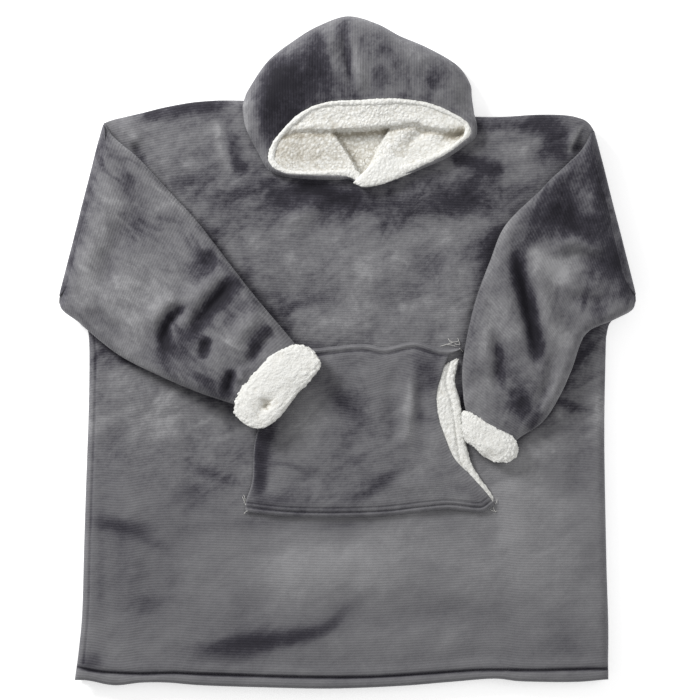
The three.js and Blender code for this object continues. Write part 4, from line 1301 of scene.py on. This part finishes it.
def hood_inside():
    """The sherpa in the face opening: the crown's turned band, two overlapping fronts, the gap between."""
    pinhole = np.full(TURNS, 2.0)
    x, y, reach = ring_grid(pinhole, RIM_REACH + 2.0 - 4.5 * (RIM_REACH > OUTLINE_REACH - 8), 130, 0.3)
    to_rim = (RIM_REACH[:, None] - reach).clip(0)
    rim_z = RIM_HEIGHT[:, None] - 1.6
    crown = beside(x, y, CROWN_FOLD)
    left = beside(x, y, LEFT_EDGE)
    right = beside(x, y, RIGHT_EDGE)
    crease = beside(x, y, RIGHT_CREASE)
    deep = 22.0 + 0.02 * (y - 260)
    left_front = 34.0 + 0.085 * np.clip(-x, 0, 110) + 2.0 * bell(left, 9)
    right_front = 36.0 + 2.5 * bell(right - 16, 12) - 5.5 * bell(crease - 7, 8) * smoothstep(292, 334, y)
    right_front = right_front - 8 * blobs(x, y, [(166, 326, 20, 8, 20, 1.0)])
    step = lambda value, width: smoothstep(-width / 2, width / 2, value)
    z = deep + (left_front - deep) * step(-left, 3.5)
    z = z + (right_front - z) * step(right, 4.0)
    # The crown's turned band falls evenly from the rim to its fold.
    fold_z = 43.0
    fall = (np.clip(crown, 0, None) / (np.clip(crown, 0, None) + to_rim + 1e-6)) ** 0.9
    band = fold_z + (rim_z - fold_z) * fall + 1.5 * bell(crown - 7, 6)
    z = z + (band - z) * step(crown, 5.0)
    z = z - 2.0 * bell(crown + 3, 3.5)
    # The front's bottom band rises into the rim roll.
    rise = 0.62 * (1 - smoothstep(0, 16, to_rim)) + 0.38 * (1 - smoothstep(0, 38, to_rim))
    z = z + (rim_z - z) * rise
    z = z + 0.9 * fractal(x, y, 0, 26, 3, 121)
    # Its sherpa is the darker painted-shade copy.
    piece = ring_piece("hood_inside", x, y, z, z - 6.0, SHERPA_SHADED, closed_middle=True)

    def pile_shadow(px, py, pz):
        """How much painted shade darkens the pile: deep in the gap, beside each fold, and in a few shaded
        spots.
        """
        gap = np.clip((27.0 - pz) / 9.0, 0, 1) * 0.45
        under_crown = 0.35 * bell(beside(px, py, CROWN_FOLD) + 5, 5)
        beside_left = 0.22 * bell(beside(px, py, LEFT_EDGE) - 3, 4)
        # Painted shade: at the hole at the right end of the crown's fold, over the left front, and beside the
        # left front's edge and the right crease.
        shaded_spots = [
            (166, 326, 22, 9, 20, 0.7), (-84, 300, 46, 30, 10, 0.42), (-20, 296, 30, 30, 0, 0.20),
            (86, 306, 26, 9, 55, 0.22),
        ]
        return gap + under_crown + beside_left + blobs(px, py, shaded_spots)

    fluff(piece, 5.5, 1.7, 122, pile_shadow)
    return finish_piece(piece, "hood", "sherpa", "hood_lining_left", "hood_lining_right")


def hood_rim():
    """The rolled sherpa edge of the face opening."""
    rounds = 28
    s = np.linspace(0, 2 * math.pi, rounds, endpoint=False)
    # Narrow over the crown, a full band along the front.
    half = 4.6 + 2.6 * np.clip(-np.sin(BEARING), 0, 1) ** 0.7
    tall = 3.2
    reach = RIM_REACH - half + 1.6
    r = reach[:, None] + half[:, None] * np.cos(s)[None]
    z = (RIM_HEIGHT - 1.8)[:, None] + tall * np.sin(s)[None]
    x = HOOD_CENTRE[0] + r * np.cos(BEARING)[:, None]
    y = HOOD_CENTRE[1] + r * np.sin(BEARING)[:, None]
    faces = grid_faces(TURNS, rounds, wrap_rows=True, wrap_columns=True, flip=True)
    piece = make_mesh("hood_rim_roll", np.stack([x, y, z], -1).reshape(-1, 3), faces, SHERPA)
    fluff(piece, 5.0, 2.0, 131)
    return finish_piece(piece, "hood", "sherpa", "hood_rim")


def front_lap():
    """The tip of the right front, over the left one at the neck."""
    edges = {
        "bottom": [(10, 250), (30, 246), (64, 254), (106, 272)],
        "top": [(10, 254), (24, 268), (48, 292), (78, 300)],
        "left": [(10, 250), (8, 252), (10, 254)],
        "right": [(106, 272), (96, 288), (78, 300)],
    }
    x, y, dense = coons(edges, 110, 46, 0.5)
    rim = rim_distance(x, y, dense, ("bottom", "top", "left"))
    away = edge_distance(x, y, dense["right"])
    high = 46.0 - 7.0 * (1 - smoothstep(0, 50, away))
    middle = high - 4.0
    share = round_off(rim, 8) * (0.2 + 0.8 * smoothstep(0, 30, away))
    top = middle + (high - middle) * share
    low = middle - 4.0 * round_off(rim, 6) * round_off(away, 6)
    top = np.where(away < 1e-6, middle, top)
    piece = pad("hood_front_lap", x, y, top, low, SHERPA)
    fluff(piece, 6.0, 1.5, 141)
    return finish_piece(piece, "hood", "sherpa")


hood_outer()
hood_back()
hood_inside()
hood_rim()
front_lap()


# ---------------------------------------------------------------- stitches and loose threads
def surface_height(piece):
    """A function that gives the height of a piece's top under points x, y."""
    corners = [vertex.co[:] for vertex in piece.data.vertices]
    tree = BVHTree.FromPolygons(corners, [face.vertices[:] for face in piece.data.polygons])

    def height(x, y):
        hit = tree.ray_cast(Vector((x * MM, y * MM, 0.2)), Vector((0, 0, -1)))[0]
        return hit.z / MM if hit else BODY_TOP

    return height


def tube(points, radius, sides=6):
    """Vertices and faces of a thin closed tube along points."""
    p = np.asarray(points, float)
    ahead = np.gradient(p, axis=0)
    ahead /= np.linalg.norm(ahead, axis=1, keepdims=True)
    side = np.cross(ahead, [0.02, 0.03, 1.0])
    side /= np.linalg.norm(side, axis=1, keepdims=True)
    up = np.cross(side, ahead)
    angle = np.linspace(0, 2 * math.pi, sides, endpoint=False)
    taper = np.ones(len(p))
    taper[[0, -1]] = 0.45
    cosine, sine = (turn(angle)[None, :, None] for turn in (np.cos, np.sin))
    ring = (side[:, None] * cosine + up[:, None] * sine) * radius
    vertices = (p[:, None] + ring * taper[:, None, None]).reshape(-1, 3)
    faces = grid_faces(len(p), sides, wrap_columns=True, flip=True)
    last = (len(p) - 1) * sides
    faces.append(list(range(sides)))
    faces.append(list(range(last, last + sides))[::-1])
    return vertices, faces


def gather(name, tubes, material):
    """One piece of several tubes."""
    vertices, faces, offset = [], [], 0
    for v, f in tubes:
        vertices.append(v)
        faces += [[k + offset for k in face] for face in f]
        offset += len(v)
    return make_mesh(name, np.vstack(vertices), faces, material)


def seam_stitches(name, line, height, pitch=5.2, length=3.6, radius=0.42, sink=0.1):
    """A row of lockstitches lying along a seam."""
    seam = curve(line, 1200)
    run = run_length(seam)
    tubes = []
    for start in np.arange(2, run[-1] - length, pitch):
        at = np.linspace(start, start + length, 6)
        x, y = (np.interp(at, run, seam[:, k]) for k in (0, 1))
        z = np.array([height(px, py) for px, py in zip(x, y)]) - sink
        z = z + radius * np.sin(np.linspace(0, math.pi, 6)) - 0.35
        tubes.append(tube(np.stack([x, y, z], 1), radius))
    return gather(name, tubes, DARK_THREAD)


def shifted(points, dy):
    return [(px, py + dy) for px, py in points]


on_body = surface_height(front)
on_pocket = surface_height(pocket)
for name, line, height, node in (
    ("hem_stitches", HEM_STITCH[1:-1], on_body, "hem_stitch"),
    ("pocket_top_stitches", shifted(POCKET["top"][1:-1], -10.5), on_pocket, "pocket_top_stitch"),
    ("pocket_bottom_stitches", shifted(POCKET["bottom"][1:-1], 8.5), on_pocket, "pocket_bottom_stitch"),
):
    finish_piece(seam_stitches(name, line, height), "torso", "thread", node)


def frayed_threads():
    """Loose white ends where the pocket's corners were tacked."""
    ends = [
        (139, 7, 16, 24), (146, 9, 10, 19), (153, 14, -14, 15), (161, 11, -24, 10), (158, 14, 172, 9),
        (169, 8, 96, 12), (168, 4, -30, 8), (214, -238, -40, 12), (219, -234, -80, 10), (222, -230, 40, 8),
        (-153, -232, 110, 14), (-154, -228, 80, 12), (-150, -240, 200, 9),
    ]
    tubes = []
    # Each end starts at x, y, sets off at an angle and curls by chance.
    for k, (x, y, degrees, length) in enumerate(ends):
        t = np.linspace(0, 1, 12)
        bend = math.radians(degrees) + (lattice(k, 3, 1, 151) - 0.5) * 1.8 * t
        px = x + np.concatenate([[0], np.cumsum(np.cos(bend[1:]))]) * length / 11
        py = y + np.concatenate([[0], np.cumsum(np.sin(bend[1:]))]) * length / 11
        ground = np.array([max(on_pocket(a, b), on_body(a, b)) for a, b in zip(px, py)])
        pz = ground + 0.5 + 1.6 * np.sin(math.pi * t)
        tubes.append(tube(np.stack([px, py, pz], 1), 0.42))
    piece = gather("frayed_threads", tubes, LOOSE_THREAD)
    return finish_piece(piece, "torso", "thread")


frayed_threads()


# ---------------------------------------------------------------- outline areas, worked out and left unused
def area_of(edges):
    """The flat area, in square metres, inside four edge curves."""
    p = outline_of(edges)
    x, y = p.T
    return abs(np.dot(x, np.roll(y, -1)) - np.dot(y, np.roll(x, -1))) / 2 * MM * MM


area_of(TORSO)
area_of(TORSO)
area_of(POCKET)


# ---------------------------------------------------------------- stage
def stage_material():
    """A bright white table top, so evenly lit that its far edge melts into the background."""
    material, tree, shader = new_material("studio_white")
    grain = add_node(tree, "ShaderNodeTexNoise", {"Scale": 0.4, "Detail": 2.0})
    whites = [(0, (0.93,) * 3), (1, (0.95,) * 3)]
    tree.links.new(ramp_node(tree, grain.outputs[0], whites), shader.inputs["Base Color"])
    shader.inputs["Roughness"].default_value = 0.9
    shader.inputs["Specular IOR Level"].default_value = 0.1
    shader.inputs["Emission Color"].default_value = (1, 1, 1, 1)
    shader.inputs["Emission Strength"].default_value = 0.42
    return material


FLOOR_REACH, FLOOR_Z = 60000, -0.6
CORNERS = ((-1, -1), (1, -1), (1, 1), (-1, 1))
floor_corners = [(across * FLOOR_REACH, along_y * FLOOR_REACH, FLOOR_Z) for across, along_y in CORNERS]
make_mesh("floor", floor_corners, [[0, 1, 2, 3]], stage_material())

world = bpy.data.worlds.new("studio")
world.use_nodes = True
world.node_tree.nodes["Background"].inputs["Color"].default_value = (1.0, 1.0, 1.0, 1)
world.node_tree.nodes["Background"].inputs["Strength"].default_value = 0.50
bpy.context.scene.world = world
bpy.context.scene.view_settings.view_transform = "Standard"


def softbox(name, location, target, size, power):
    """A square area light that faces a target; lengths in metres."""
    light = bpy.data.lights.new(name, "AREA")
    light.shape = "SQUARE"
    light.size = size
    light.energy = power
    lamp = bpy.data.objects.new(name, light)
    lamp.location = location
    lamp.rotation_mode = "QUATERNION"
    lamp.rotation_quaternion = (Vector(target) - Vector(location)).to_track_quat("-Z", "Y")
    bpy.context.scene.collection.objects.link(lamp)


softbox("key", (-1.6, 1.5, 1.30), (0, 0, 0), 0.7, 60)
softbox("fill", (1.6, 0.4, 2.2), (0, 0, 0), 1.4, 14)

# The photograph spans 1050 mm at the middle of the part's height, seen from straight above.
PHOTO_WIDTH = 1050
LENS, SENSOR = 85, 36
camera_data = bpy.data.cameras.new("camera")
camera_data.lens = LENS
camera_data.sensor_width = SENSOR
camera = bpy.data.objects.new("camera", camera_data)
middle_height = (cad_box[0].z + cad_box[1].z) / 2
camera.location = (3.75 * MM, 1.5 * MM, middle_height + PHOTO_WIDTH * MM * LENS / SENSOR)
bpy.context.scene.collection.objects.link(camera)
bpy.context.scene.camera = camera
